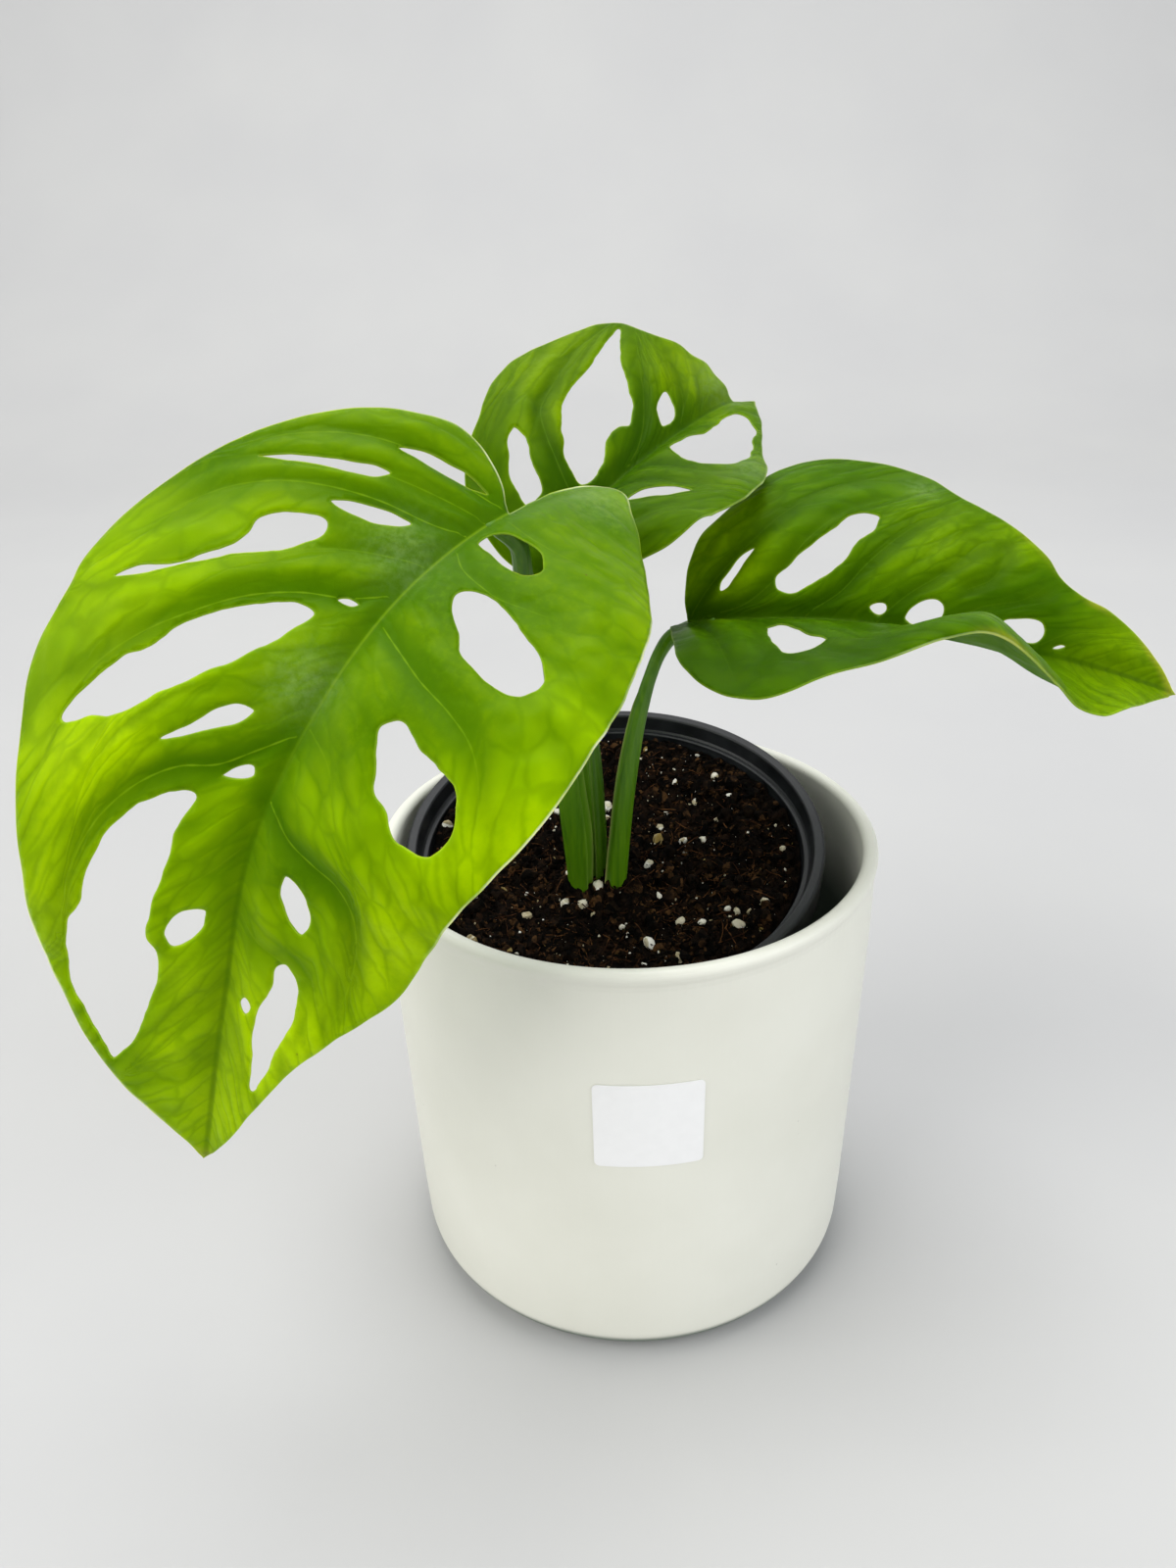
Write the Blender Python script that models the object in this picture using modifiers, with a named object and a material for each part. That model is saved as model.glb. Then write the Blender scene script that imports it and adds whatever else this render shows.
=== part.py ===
# Monstera adansonii with three leaves, in a nursery pot that leans inside a white cover pot.
# Metres, +Z up. The origin is at the centre of the cover pot's flat base, and +Y points away from the viewer.
# Shapes are worked out in millimetres and scaled where they become meshes.

import math
import random

import bmesh
import bpy
import numpy as np
from mathutils import Euler, Matrix, Vector, geometry

MM = 0.001
CLEARANCE = 0.3

# Cover pot
COVER_HEIGHT = 121.9
COVER_TOP_R = 62.5
COVER_BOTTOM_R = 59.5
COVER_WALL = 3.7
COVER_FLOOR = 7.5
COVER_EDGE_R = 9.0
COVER_CORNER_R = 5.0
LIP_DROP = 2.8
LIP_BULGE = 0.5

# Nursery pot, in its own frame: height above its base along its own axis
NURSERY_RIM_R = 53.0
NURSERY_HEIGHT = 108.0
NURSERY_BASE_R = 32.5
NURSERY_WALL = 1.2
NURSERY_RIM_CENTRE = (-3.4, -0.5, 120.3)
NURSERY_LEAN = (math.radians(13.0), math.radians(-1.3), 0.0)
RIM_WALL = 2.9
RIM_SKIRT = 9.0
LEDGE_DROP = 6.5
DRAIN_HOLES = 6
DRAIN_HOLE_R = 4.0
DRAIN_CIRCLE_R = 22.0

# Soil
SOIL_DROP = 10.5
SOIL_DEPTH = 96.0
SOIL_RELIEF = 1.1
STALK_HOLE_DEPTH = 12.0
LUMPS = 34
LUMP_SIZES = (1.5, 2.7)

# Leaves
BLADE_THICKNESS = 0.8
GROOVE_WIDTH = 3.6
MIDRIB_GROOVE = 0.9
VEIN_GROOVE = 0.6
STALK_SIDES = 2

# Label: angles about the pot's axis, and heights
LABEL_ANGLES = (math.radians(-100.0), math.radians(-76.4))
LABEL_HEIGHTS = (67.3, 91.7)
LABEL_THICKNESS = 0.35
LABEL_CORNER = 1.6


# Each leaf: the midrib's points, with the first one behind the stalk's end and the second one at it;
# the way that its upper face looks; how its two halves bend away from the midrib, in degrees at the
# midrib, at reach and at twice reach, at stations along the midrib; its two edges from the stalk to
# the tip; its holes; and its main veins. Outlines are flat: x runs along the midrib, y across it.
# A vein runs along x = start + slope * |y| + curve * y * y on the side of its sign, out to |y| = end.
FRONT_LEAF = dict(
    midrib=[(-7, -9, 212), (-23.5, -28, 211.5), (-44.5, -52.5, 201.5), (-57.5, -71, 188),
            (-69.5, -79.5, 168), (-79.5, -83.5, 134.5), (-89.5, -84.5, 95.5)],
    facing=(0.1, -0.6, 0.8),
    reach=30.0,
    bends=[(-20, (5, -12, -35), (10, -10, -40)), (0, (12, -5, -30), (22, 5, -35)),
           (40, (15, 0, -20), (22, 0, -30)), (80, (15, 0, -20), (18, 0, -35)),
           (120, (15, 0, -20), (15, -5, -35)), (160, (10, 0, -20), (10, -5, -30))],
    edges=[[(0, 0), (-8, -0.5), (-19, -1), (-27, 1), (-29.5, 5.5), (-25.5, 12.5), (-14, 27.5), (-4, 36),
            (6.5, 41.5), (20, 46), (33, 48), (48, 48), (61.5, 46.5), (70, 44), (82.5, 40.5), (96, 37.5),
            (108, 33.5), (120.5, 23), (130, 16.5), (141.5, 10), (153, 5.5), (159, 2.5), (161, 0)],
           [(0, 0), (-2.5, -6), (-3.5, -13), (-2, -21), (3.5, -26.5), (17, -37.5), (29.5, -46.5),
            (38, -51), (46.5, -53.5), (63, -53.5), (76.5, -53.5), (88, -46.5), (101.5, -40.5),
            (110, -38), (123, -33.5), (137, -23.5), (148, -12), (156, -5), (161, 0)]],
    holes=[[(1.5, -5), (5.5, -9), (9, -15.5), (11.5, -22.5), (8, -19.5), (5, -14), (2.5, -8.5)],
           [(16, -18.5), (18, -19), (21, -23), (24.5, -30), (28, -38.5), (23.5, -31.5), (19.5, -25),
            (16.5, -20.5)],
           [(20, -8.5), (21.5, -9), (25.5, -13.5), (27, -21.5), (25, -19), (23, -15.5), (20.5, -11)],
           [(31, -18.5), (32.5, -18), (36, -19.5), (44.5, -28.5), (49, -34), (55.5, -44.5),
            (53, -42.5), (50, -36.5), (46.5, -33), (39.5, -28.5), (36.5, -29), (33.5, -26)],
           [(39, -4.5), (40, -5), (40.5, -8), (39, -6.5)],
           [(46, -9.5), (48, -10), (52.5, -12), (63.5, -19), (70.5, -24.5), (78.5, -33.5),
            (81, -40.5), (77, -39), (69, -35), (65.5, -31.5), (59.5, -28.5), (54.5, -24.5), (48, -18)],
           [(66, -9), (67.5, -9.5), (71, -13), (77, -21.5), (72, -17), (68, -14.5), (66, -12)],
           [(74.5, -4.5), (75.5, -4), (78, -9), (76, -7.5)],
           [(83, -12), (91, -12.5), (97.5, -13.5), (103.5, -15), (108.5, -15), (115, -12.5),
            (125, -14), (136, -16), (138.5, -19), (130.5, -24), (124, -27.5), (116, -30),
            (109.5, -30), (104.5, -27), (99, -26.5), (90, -21.5), (86, -19)],
           [(102, -5), (104.5, -5), (110, -11), (108.5, -12), (105, -11), (103, -9)],
           [(9.5, 2.5), (12, 2.5), (14, 7.5), (13.5, 16), (10, 17), (7, 15), (5.5, 10), (6.5, 5.5)],
           [(26.5, 9), (30, 10.5), (35.5, 15.5), (39.5, 19), (43, 25.5), (42.5, 32), (36.5, 33.5),
            (31, 31.5), (26.5, 24.5), (23.5, 18), (23, 13.5)],
           [(58, 13), (61, 14), (64, 16), (67, 17.5), (69.5, 22), (72.5, 25.5), (72.5, 32.5),
            (66, 33.5), (62.5, 31.5), (59, 22), (56.5, 15)],
           [(90, 8.5), (93, 8), (96.5, 10), (100.5, 14), (96.5, 15), (93, 14)],
           [(108, 11.5), (109, 10), (113, 9.5), (121.5, 7.5), (128.5, 7.5), (138.5, 8.5),
            (128, 12.5), (120, 14.5), (114.5, 15), (110.5, 14)],
           [(118, 4.5), (119.5, 3.5), (121.5, 5), (119.5, 6)]],
    veins=[(-1, 3.4, 0.64, -0.003, 20), (-1, 12.2, 0.336, 0.009, 49), (-1, 33.2, 0.497, 0.013, 42),
           (-1, 67.0, 0.094, 0.034, 31), (1, 19.6, 0.117, 0.001, 27), (1, 39.5, 0.391, 0.006, 38),
           (1, 85.5, -0.927, 0.072, 25)],
)

BACK_LEAF = dict(
    midrib=[(-21.5, 0, 181.5), (-16, 5, 188.5), (-7.5, 17.5, 199.5), (1.5, 29.5, 205), (12.5, 43, 210),
            (26.5, 59, 214.5), (37, 72, 215.5)],
    facing=(-0.2, -0.85, 0.5),
    reach=20.0,
    bends=[(-10, (25, 10, -5), (40, 25, 5)), (0, (25, 10, -8), (45, 25, 10)),
           (25, (25, 5, -8), (45, 25, 10)), (50, (20, 0, -12), (35, 20, 0)),
           (90, (15, 0, -20), (20, 0, -20))],
    edges=[[(0, 0), (-3.5, 1.5), (-5, 6), (-4, 13), (-2, 18), (1.5, 22.5), (8.5, 27.5), (19.5, 34),
            (34.5, 41.5), (45, 43.5), (58.5, 41.5), (66, 40), (72, 37.5), (76, 33), (79.5, 26),
            (81.5, 19), (83, 12), (84, 6), (86.5, 1), (91, -4)],
           [(0, 0), (-2, -7.5), (-0.5, -16), (3.5, -25), (8.5, -31.5), (16, -34.5), (27, -36),
            (38, -35.5), (49.5, -32), (61, -24.5), (76.5, -14), (85.5, -8.5), (91, -4)]],
    holes=[[(24.5, 27), (24, 24), (19.5, 17.5), (14.5, 11), (11, 12), (12.5, 16), (19, 23.5),
            (22.5, 26.5)],
           [(71, 33), (68, 29), (61, 22), (56, 15.5), (47, 8), (45, 9), (38, 8), (33.5, 6), (27.5, 4),
            (22.5, 5), (23.5, 9.5), (29.5, 16.5), (34.5, 20.5), (40.5, 24), (56.5, 28.5), (64, 31.5)],
           [(58, 8), (61.5, 10), (64, 10), (63.5, 7.5), (58, 2.5), (55, 3)],
           [(50, -3.5), (54, -4), (58.5, -8), (64.5, -7), (75, -7), (76.5, -10), (64.5, -19),
            (51, -25), (43, -22.5), (43.5, -13)],
           [(20, -11.5), (23, -12), (26, -14.5), (28, -22), (27.5, -24.5), (24.5, -22.5), (21, -15.5)]],
    veins=[(1, 17.6, -0.875, 0.057, 35), (1, 35.8, 1.99, -0.019, 25), (-1, 35.6, 0.24, 0.0, 28),
           (-1, 23.9, 0.04, 0.0, 33)],
)

RIGHT_LEAF = dict(
    midrib=[(0, 9, 171), (14.5, 2, 176.5), (27.5, -2.5, 178.5), (49, -9.5, 180), (69.5, -16, 178.5),
            (86.5, -20.5, 176), (104.5, -23, 171.5), (121, -23.5, 165.5)],
    facing=(0.0, -0.65, 0.76),
    reach=15.0,
    bends=[(-10, (20, 0, -20), (40, 35, 20)), (0, (25, 5, -15), (45, 40, 25)),
           (25, (25, 5, -15), (45, 40, 30)), (47, (20, 0, -15), (47, 52, 30)),
           (58, (20, 0, -15), (45, 74, 12)), (66, (18, 0, -15), (36, 82, -9)),
           (73, (16, 0, -15), (8, 74, -11)), (79, (15, 0, -15), (-20, 66, -47)),
           (85, (15, 0, -15), (-20, 46, -62)), (91, (15, 0, -15), (-30, 45, -20)),
           (98, (15, 0, -15), (0, 45, 0)), (106, (15, 0, -15), (15, 0, -10)),
           (120, (15, 0, -15), (15, 0, -10))],
    edges=[[(0, 0), (0, 8), (1, 15), (3, 21), (7, 26.5), (11, 33), (15.5, 41.5), (21, 47), (27, 49.5),
            (36.5, 49.5), (44.5, 47.5), (50.5, 44.5), (55.5, 40.5), (68, 32.5), (74.5, 27.5),
            (79, 23), (81.5, 19), (86.5, 15.5), (93, 13.5), (99, 10.5), (104.5, 6.5), (109, 3),
            (112.5, 0)],
           [(0, 0), (-2.5, -2), (-1, -9), (2, -17), (4.5, -26), (8.5, -33), (13, -37.5), (19.5, -41),
            (25.5, -42), (31, -40.5), (36, -37.5), (41.5, -35.5), (47, -34), (58, -32), (66, -29.5),
            (73, -27), (79, -25), (85, -21.5), (91, -19.5), (98, -16), (104, -10), (109, -4),
            (112.5, 0)]],
    holes=[[(9.5, 6), (11, 7), (14, 13.5), (15.5, 16.5), (12.5, 15), (11, 13), (8.5, 8)],
           [(22, 5.5), (25, 5), (28.5, 6), (33.5, 10), (37.5, 18), (41, 27), (40, 28.5),
            (37.5, 28.5), (31, 22), (23.5, 12), (20.5, 8)],
           [(24, -6.5), (26.5, -8.5), (33.5, -15), (35, -17), (32.5, -23), (28.5, -26), (24, -18.5),
            (21.5, -10)],
           [(42, 3.5), (44.5, 2), (46, 3.5), (44.5, 5)],
           [(50, 1.8), (54, 1.5), (57.5, 2.5), (58, 6), (56, 7.5), (53, 6.5)],
           [(70.5, 5), (72.5, 2), (75.5, 1.5), (79, 1.8), (81, 3.5), (80.5, 6), (74.5, 6.5)]],
    veins=[(1, 3.0, 0.156, 0.009, 33), (1, 5.0, 1.08, -0.01, 34), (1, 13.6, 2.5, -0.046, 32),
           (1, 31.3, 2.9, -0.058, 24), (-1, 0.5, 0.61, 0.0, 36)],
)

# Stalk routes from inside the soil to just under the blade: x, y, z and radius.
# The last point comes from the leaf itself.
FRONT_STALK = [(-12.4, -7.3, 103.5, 2.6), (-12.4, -7.3, 109, 2.7), (-12.7, -8, 122.8, 3.3),
               (-14.3, -10, 140.3, 3.2), (-17.6, -14, 162.6, 2.6), (-20.2, -18.5, 181, 2.3),
               (-21.7, -23, 195.7, 2.1), (-22.6, -26, 204, 2.0)]
BACK_STALK = [(-7.6, -3.6, 103.5, 2.3), (-7.6, -3.4, 109, 2.3), (-7.9, -1.8, 128.5, 2.4),
              (-8.9, -0.6, 146.7, 2.3), (-10.6, 0.8, 161.4, 2.0), (-12.5, 2.8, 175.4, 1.8),
              (-14.2, 4.6, 184, 1.7)]
RIGHT_STALK = [(-3.4, -7.8, 103.5, 2.6), (-3.2, -7.5, 109, 2.6), (-1.9, -7.2, 124.6, 2.5),
               (0, -6.7, 140.7, 2.2), (2.3, -5.2, 158, 1.9), (4.2, -3.7, 165.1, 1.6), (7.2, -1.0, 169.3, 1.6),
               (11.5, 3.0, 172.3, 1.8)]
STALK_TOP_R = {"front": 2.0, "back": 1.6, "right": 1.6}
STALK_END_X = 3.0


# Scene, collections and materials
for old in list(bpy.data.objects):
    bpy.data.objects.remove(old)
scene = bpy.context.scene
scene.unit_settings.system = "METRIC"

plant = bpy.data.collections.new("monstera_adansonii")
scene.collection.children.link(plant)
cutters = bpy.data.collections.new("cutters")
cutters.hide_render = True
scene.collection.children.link(cutters)


def material(name, colour, roughness, metallic=0.0):
    made = bpy.data.materials.new(name)
    made.use_nodes = True
    shader = made.node_tree.nodes["Principled BSDF"]
    shader.inputs["Base Color"].default_value = (*colour, 1.0)
    shader.inputs["Roughness"].default_value = roughness
    shader.inputs["Metallic"].default_value = metallic
    made.diffuse_color = (*colour, 1.0)
    return made


def shade(mesh, angle=40.0):
    mesh.polygons.foreach_set("use_smooth", [True] * len(mesh.polygons))
    mesh.set_sharp_from_angle(angle=math.radians(angle))


def add(name, mesh, finish=None, group=plant):
    made = bpy.data.objects.new(name, mesh)
    group.objects.link(made)
    if finish:
        mesh.materials.append(finish)
    if group is cutters:
        made.hide_render = True
        made.display_type = "WIRE"
    return made


def boolean(target, cutter, operation):
    step = target.modifiers.new(f"{operation.lower()} {cutter.name}", "BOOLEAN")
    step.operation = operation
    step.solver = "EXACT"
    step.object = cutter


def arc(centre, radius, start, end, count=5):
    """Points of an arc in the profile's plane, angles in degrees from the +X axis."""
    angles = np.radians(np.linspace(start, end, count))
    return [(centre[0] + radius * math.cos(a), centre[1] + radius * math.sin(a)) for a in angles]


def turned(name, profile, finish, steps=64):
    """A solid of revolution about Z, from a profile in millimetres that runs down its outer side."""
    mesh = bpy.data.meshes.new(name)
    points = [(r * MM, 0.0, z * MM) for r, z in profile]
    mesh.from_pydata(points, [(i, i + 1) for i in range(len(points) - 1)], [])
    made = add(name, mesh, finish)
    screw = made.modifiers.new("turn", "SCREW")
    screw.angle = math.tau
    screw.steps = steps
    screw.render_steps = steps
    screw.use_merge_vertices = True
    screw.merge_threshold = 0.00001
    screw.use_smooth_shade = True
    return made


def through(knots, values, at):
    """A smooth curve through the values, carried on straight past both ends."""
    knots = np.asarray(knots, float)
    values = np.asarray(values, float).reshape(len(knots), -1)
    at = np.asarray(at, float)
    slopes = np.gradient(values, knots, axis=0)
    inside = np.clip(at, knots[0], knots[-1])
    i = np.clip(np.searchsorted(knots, inside, side="right") - 1, 0, len(knots) - 2)
    span = (knots[i + 1] - knots[i])[..., None]
    t = (inside - knots[i])[..., None] / span
    a, b = values[i], values[i + 1]
    slope_a, slope_b = slopes[i] * span, slopes[i + 1] * span
    curve = a + t * slope_a + t**2 * (3 * (b - a) - 2 * slope_a - slope_b)
    curve += t**3 * (2 * (a - b) + slope_a + slope_b)
    past = np.where((at < knots[0])[..., None], slopes[0], slopes[-1])
    return curve + (at - inside)[..., None] * past


def lengths(points):
    steps = np.linalg.norm(np.diff(points, axis=0), axis=1)
    return np.concatenate([[0.0], np.cumsum(steps)])


def unit(vectors):
    return vectors / np.linalg.norm(vectors, axis=-1, keepdims=True)


def resample(points, spacing, closed=False):
    """Evenly spaced points on a smooth curve through the given ones."""
    points = np.array(points, float)
    if closed:
        points = np.concatenate([points[-3:], points, points[:3]])
    knots = lengths(points)
    start, end = (knots[3], knots[-3]) if closed else (knots[0], knots[-1])
    count = max(6, round((end - start) / spacing))
    curve = through(knots, points, np.linspace(start, end, count + 1))
    return curve[:-1] if closed else curve


# Leaf blades

class Blade:
    """A curved leaf surface. at(x, y) gives the point x along the midrib and y across it."""

    def __init__(self, leaf):
        self.leaf = leaf
        self.midrib = np.array(leaf["midrib"], float)
        self.facing = unit(np.array(leaf["facing"], float))
        knots = lengths(self.midrib)
        for _ in range(3):
            fine = np.linspace(0.0, knots[-1], 2001)
            knots = np.interp(knots, fine, lengths(through(knots, self.midrib, fine)))
        self.knots = knots - knots[1]

    def frame(self, x):
        """The point of the midrib, and the ways along it, across it and out of its upper face."""
        point = through(self.knots, self.midrib, x)
        along = through(self.knots, self.midrib, x + 0.5) - through(self.knots, self.midrib, x - 0.5)
        along = unit(along)
        out = unit(self.facing - (along @ self.facing)[..., None] * along)
        return point, along, np.cross(out, along), out

    def at(self, x, y, steps=16):
        """Walks across from the midrib, turning as the bends say."""
        x = np.asarray(x, float)
        y = np.asarray(y, float)
        point, _, across, out = self.frame(x)
        stations = [station for station, _, _ in self.leaf["bends"]]
        bends = [plus + minus for _, plus, minus in self.leaf["bends"]]
        bends = through(stations, bends, np.clip(x, stations[0], stations[-1]))
        bends = np.where((y > 0)[..., None], bends[..., :3], bends[..., 3:])
        side = np.sign(y)[..., None]
        for k in range(steps):
            t = np.minimum((k + 0.5) * np.abs(y) / steps / self.leaf["reach"], 2.4)
            turn = bends[..., 0] * (1 - t) * (2 - t) / 2 + bends[..., 1] * t * (2 - t)
            turn = np.radians(turn + bends[..., 2] * t * (t - 1) / 2)[..., None]
            point = point + np.abs(y)[..., None] / steps * (np.cos(turn) * side * across + np.sin(turn) * out)
        return point

    def normal(self, x, y):
        """The way out of the upper face."""
        y = np.where(np.abs(y) < 0.2, 0.2, y)
        along = self.at(x + 0.3, y) - self.at(x - 0.3, y)
        across = self.at(x, y + 0.1) - self.at(x, y - 0.1)
        return unit(np.cross(along, across))

    def relief(self, x, y):
        """How far the upper face sinks into the grooves over the midrib and the main veins."""
        sunk = MIDRIB_GROOVE * np.exp(-((y / GROOVE_WIDTH) ** 2))
        for side, start, slope, curve, end in self.leaf["veins"]:
            away = np.abs(y)
            off = x - (start + slope * away + curve * away**2)
            off = off / np.sqrt(1 + (slope + 2 * curve * away) ** 2)
            fade = np.clip((end - away) / 8.0, 0, 1) * np.clip(away / 4.0, 0, 1) * (y * side > 0)
            sunk = np.maximum(sunk, VEIN_GROOVE * fade * np.exp(-((off / GROOVE_WIDTH) ** 2)))
        return -sunk

    def surface(self, x, y):
        return self.at(x, y) + self.normal(x, y) * self.relief(x, y)[..., None]


def inside(points, outline):
    """Which points lie inside the closed outline, by counting the edges that they look across."""
    x, y = points[:, 0, None], points[:, 1, None]
    x0, y0 = outline[:, 0], outline[:, 1]
    x1, y1 = np.roll(x0, -1), np.roll(y0, -1)
    with np.errstate(divide="ignore", invalid="ignore"):
        crossing = ((y0 > y) != (y1 > y)) & (x < (x1 - x0) * (y - y0) / (y1 - y0) + x0)
    return crossing.sum(axis=1) % 2 == 1


def nearest(points, others):
    return np.sqrt(((points[:, None] - others[None]) ** 2).sum(axis=2).min(axis=1))


def flat_blade(leaf, spacing, edge_spacing):
    """The flat leaf, cut out with its holes, as points and triangles with the upper face up."""
    plus, minus = (resample(edge, edge_spacing) for edge in leaf["edges"])
    outline = np.concatenate([plus, minus[-2:0:-1]])
    holes = [resample(hole, edge_spacing, closed=True) for hole in leaf["holes"]]
    rings = [outline] + holes
    borders = np.concatenate(rings)

    def within(points, clear):
        keep = inside(points, outline) & (nearest(points, borders) > clear)
        for hole in holes:
            keep &= ~inside(points, hole)
        return keep

    length = leaf["edges"][0][-1][0]
    rib = np.arange(2.0, length - 4.0, spacing * 0.8)
    lines = [np.stack([rib, 0 * rib], 1)]
    for side, start, slope, curve, end in leaf["veins"]:
        away = np.arange(spacing * 0.7, end, spacing * 0.8)
        lines.append(np.stack([start + slope * away + curve * away**2, side * away], 1))

    points = [tuple(p) for p in borders]
    edges = []
    first = 0
    for ring in rings:
        edges += [(first + i, first + (i + 1) % len(ring)) for i in range(len(ring))]
        first += len(ring)
    placed = np.empty((0, 2))
    for line in lines:
        keep = within(line, spacing * 0.45)
        if len(placed):
            keep &= nearest(line, placed) > spacing * 0.5
        for i, point in enumerate(line):
            if not keep[i]:
                continue
            if i and keep[i - 1]:
                edges.append((len(points) - 1, len(points)))
            points.append(tuple(point))
        placed = np.concatenate([placed, line[keep]])

    rows = np.arange(outline[:, 1].min(), outline[:, 1].max(), spacing * math.sqrt(3) / 2)
    columns = np.arange(outline[:, 0].min(), outline[:, 0].max(), spacing)
    grid = np.array([(x + spacing / 2 * (k % 2), y) for k, y in enumerate(rows) for x in columns])
    keep = within(grid, spacing * 0.55) & (nearest(grid, placed) > spacing * 0.6)
    points += [tuple(p) for p in grid[keep]]

    made = geometry.delaunay_2d_cdt([Vector(p) for p in points], edges, [], 0, 1e-5)
    flat = np.array([tuple(p) for p in made[0]])
    triangles = np.array([tuple(face) for face in made[2]])
    middle = flat[triangles].mean(axis=1)
    keep = inside(middle, outline)
    for hole in holes:
        keep &= ~inside(middle, hole)
    triangles = triangles[keep]
    a, b, c = (flat[triangles[:, k]] for k in range(3))
    turn = (b[:, 0] - a[:, 0]) * (c[:, 1] - a[:, 1]) - (b[:, 1] - a[:, 1]) * (c[:, 0] - a[:, 0])
    triangles[turn < 0] = triangles[turn < 0][:, ::-1]
    used = np.unique(triangles)
    return flat[used], np.searchsorted(used, triangles)


def add_blade(name, leaf, finish, spacing, edge_spacing):
    flat, triangles = flat_blade(leaf, spacing, edge_spacing)
    points = Blade(leaf).surface(flat[:, 0], flat[:, 1]) * MM
    mesh = bpy.data.meshes.new(name)
    mesh.from_pydata(points.tolist(), [], triangles.tolist())
    shade(mesh, 70.0)
    made = add(name, mesh, finish)
    thicken = made.modifiers.new("thickness", "SOLIDIFY")
    thicken.thickness = BLADE_THICKNESS * MM
    thicken.offset = 0.0
    return made


# Stalks

def add_stalk(name, route, leaf, top_r, finish):
    """A tapering stalk out of its hole in the soil, ending a hair under the blade."""
    blade = Blade(leaf)
    point, _, _, out = blade.frame(np.array([STALK_END_X]))
    end = (point - out * (BLADE_THICKNESS / 2 + MIDRIB_GROOVE + CLEARANCE + top_r))[0]
    knots = np.array(route + [(*end, top_r)])
    path = resample(knots, 6.0)
    curve = bpy.data.curves.new(name, "CURVE")
    curve.dimensions = "3D"
    curve.bevel_depth = MM
    curve.bevel_resolution = STALK_SIDES
    curve.use_fill_caps = True
    spline = curve.splines.new("POLY")
    spline.points.add(len(path) - 1)
    for point, (px, py, pz, radius) in zip(spline.points, path):
        point.co = (px * MM, py * MM, pz * MM, 1.0)
        point.radius = radius
    curve.materials.append(finish)
    made = bpy.data.objects.new(name, curve)
    plant.objects.link(made)
    return made


# Pots

def cover_radius(z):
    """The outer radius of the cover pot's straight wall at a height."""
    return COVER_BOTTOM_R + (COVER_TOP_R - COVER_BOTTOM_R) * z / COVER_HEIGHT


def cover_pot(finish):
    lip = LIP_BULGE + 1.3
    inner = [(0, COVER_FLOOR)]
    floor_r = cover_radius(COVER_FLOOR) - COVER_WALL - COVER_CORNER_R
    inner += arc((floor_r, COVER_FLOOR + COVER_CORNER_R), COVER_CORNER_R, -90, 0)
    neck = cover_radius(COVER_HEIGHT - LIP_DROP) - COVER_WALL
    inner += [(neck, COVER_HEIGHT - LIP_DROP)]
    inner += arc((neck + lip, COVER_HEIGHT - lip), lip, 180, 90, 4)
    outer = arc((COVER_TOP_R - lip, COVER_HEIGHT - lip), lip, 90, 0, 4)
    outer += [(COVER_TOP_R - LIP_BULGE, COVER_HEIGHT - LIP_DROP - 1.5)]
    edge = COVER_BOTTOM_R - COVER_EDGE_R
    outer += arc((edge, COVER_EDGE_R), COVER_EDGE_R, 0, -90, 6)
    return turned("cover_pot", inner + outer + [(0, 0)], finish)


def nursery_frame():
    """Places the pot's own frame, with its base on z = 0, so that its rim sits at the named centre."""
    turn = Euler(NURSERY_LEAN).to_matrix().to_4x4()
    rim = Matrix.Translation(Vector(NURSERY_RIM_CENTRE) * MM)
    return rim @ turn @ Matrix.Translation((0, 0, -NURSERY_HEIGHT * MM))


def nursery_inner_radius(z):
    """Inside of the tapering wall at a height, below the rim band."""
    top = NURSERY_RIM_R - RIM_WALL - 3.2
    share = z / (NURSERY_HEIGHT - RIM_SKIRT)
    return NURSERY_BASE_R - NURSERY_WALL + (top - NURSERY_BASE_R + NURSERY_WALL) * share


def nursery_pot(finish):
    rim = NURSERY_HEIGHT
    inner_rim = NURSERY_RIM_R - RIM_WALL
    below = rim - RIM_SKIRT
    profile = [(0, NURSERY_WALL), (nursery_inner_radius(NURSERY_WALL), NURSERY_WALL),
               (nursery_inner_radius(below), below), (inner_rim - 2.2, rim - LEDGE_DROP - 1.2),
               (inner_rim - 2.2, rim - LEDGE_DROP), (inner_rim - 0.7, rim - LEDGE_DROP),
               (inner_rim, rim - 0.5), (inner_rim + 0.5, rim), (NURSERY_RIM_R - 0.6, rim),
               (NURSERY_RIM_R, rim - 0.6), (NURSERY_RIM_R - 0.3, below),
               (nursery_inner_radius(below) + NURSERY_WALL, below - 0.4),
               (NURSERY_BASE_R, 1.5), (NURSERY_BASE_R - 1.5, 0), (0, 0)]
    pot = turned("nursery_pot", profile, finish)
    pot.matrix_world = nursery_frame()
    holes = bmesh.new()
    for k in range(DRAIN_HOLES):
        angle = math.tau * k / DRAIN_HOLES
        place = Matrix.Translation((DRAIN_CIRCLE_R * MM * math.cos(angle),
                                    DRAIN_CIRCLE_R * MM * math.sin(angle), 0))
        bmesh.ops.create_cone(holes, cap_ends=True, segments=16, radius1=DRAIN_HOLE_R * MM,
                              radius2=DRAIN_HOLE_R * MM, depth=6 * MM, matrix=place)
    mesh = bpy.data.meshes.new("drain holes")
    holes.to_mesh(mesh)
    cutter = add("drain holes", mesh, group=cutters)
    cutter.matrix_world = nursery_frame()
    boolean(pot, cutter, "DIFFERENCE")
    return pot


# Soil

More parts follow.
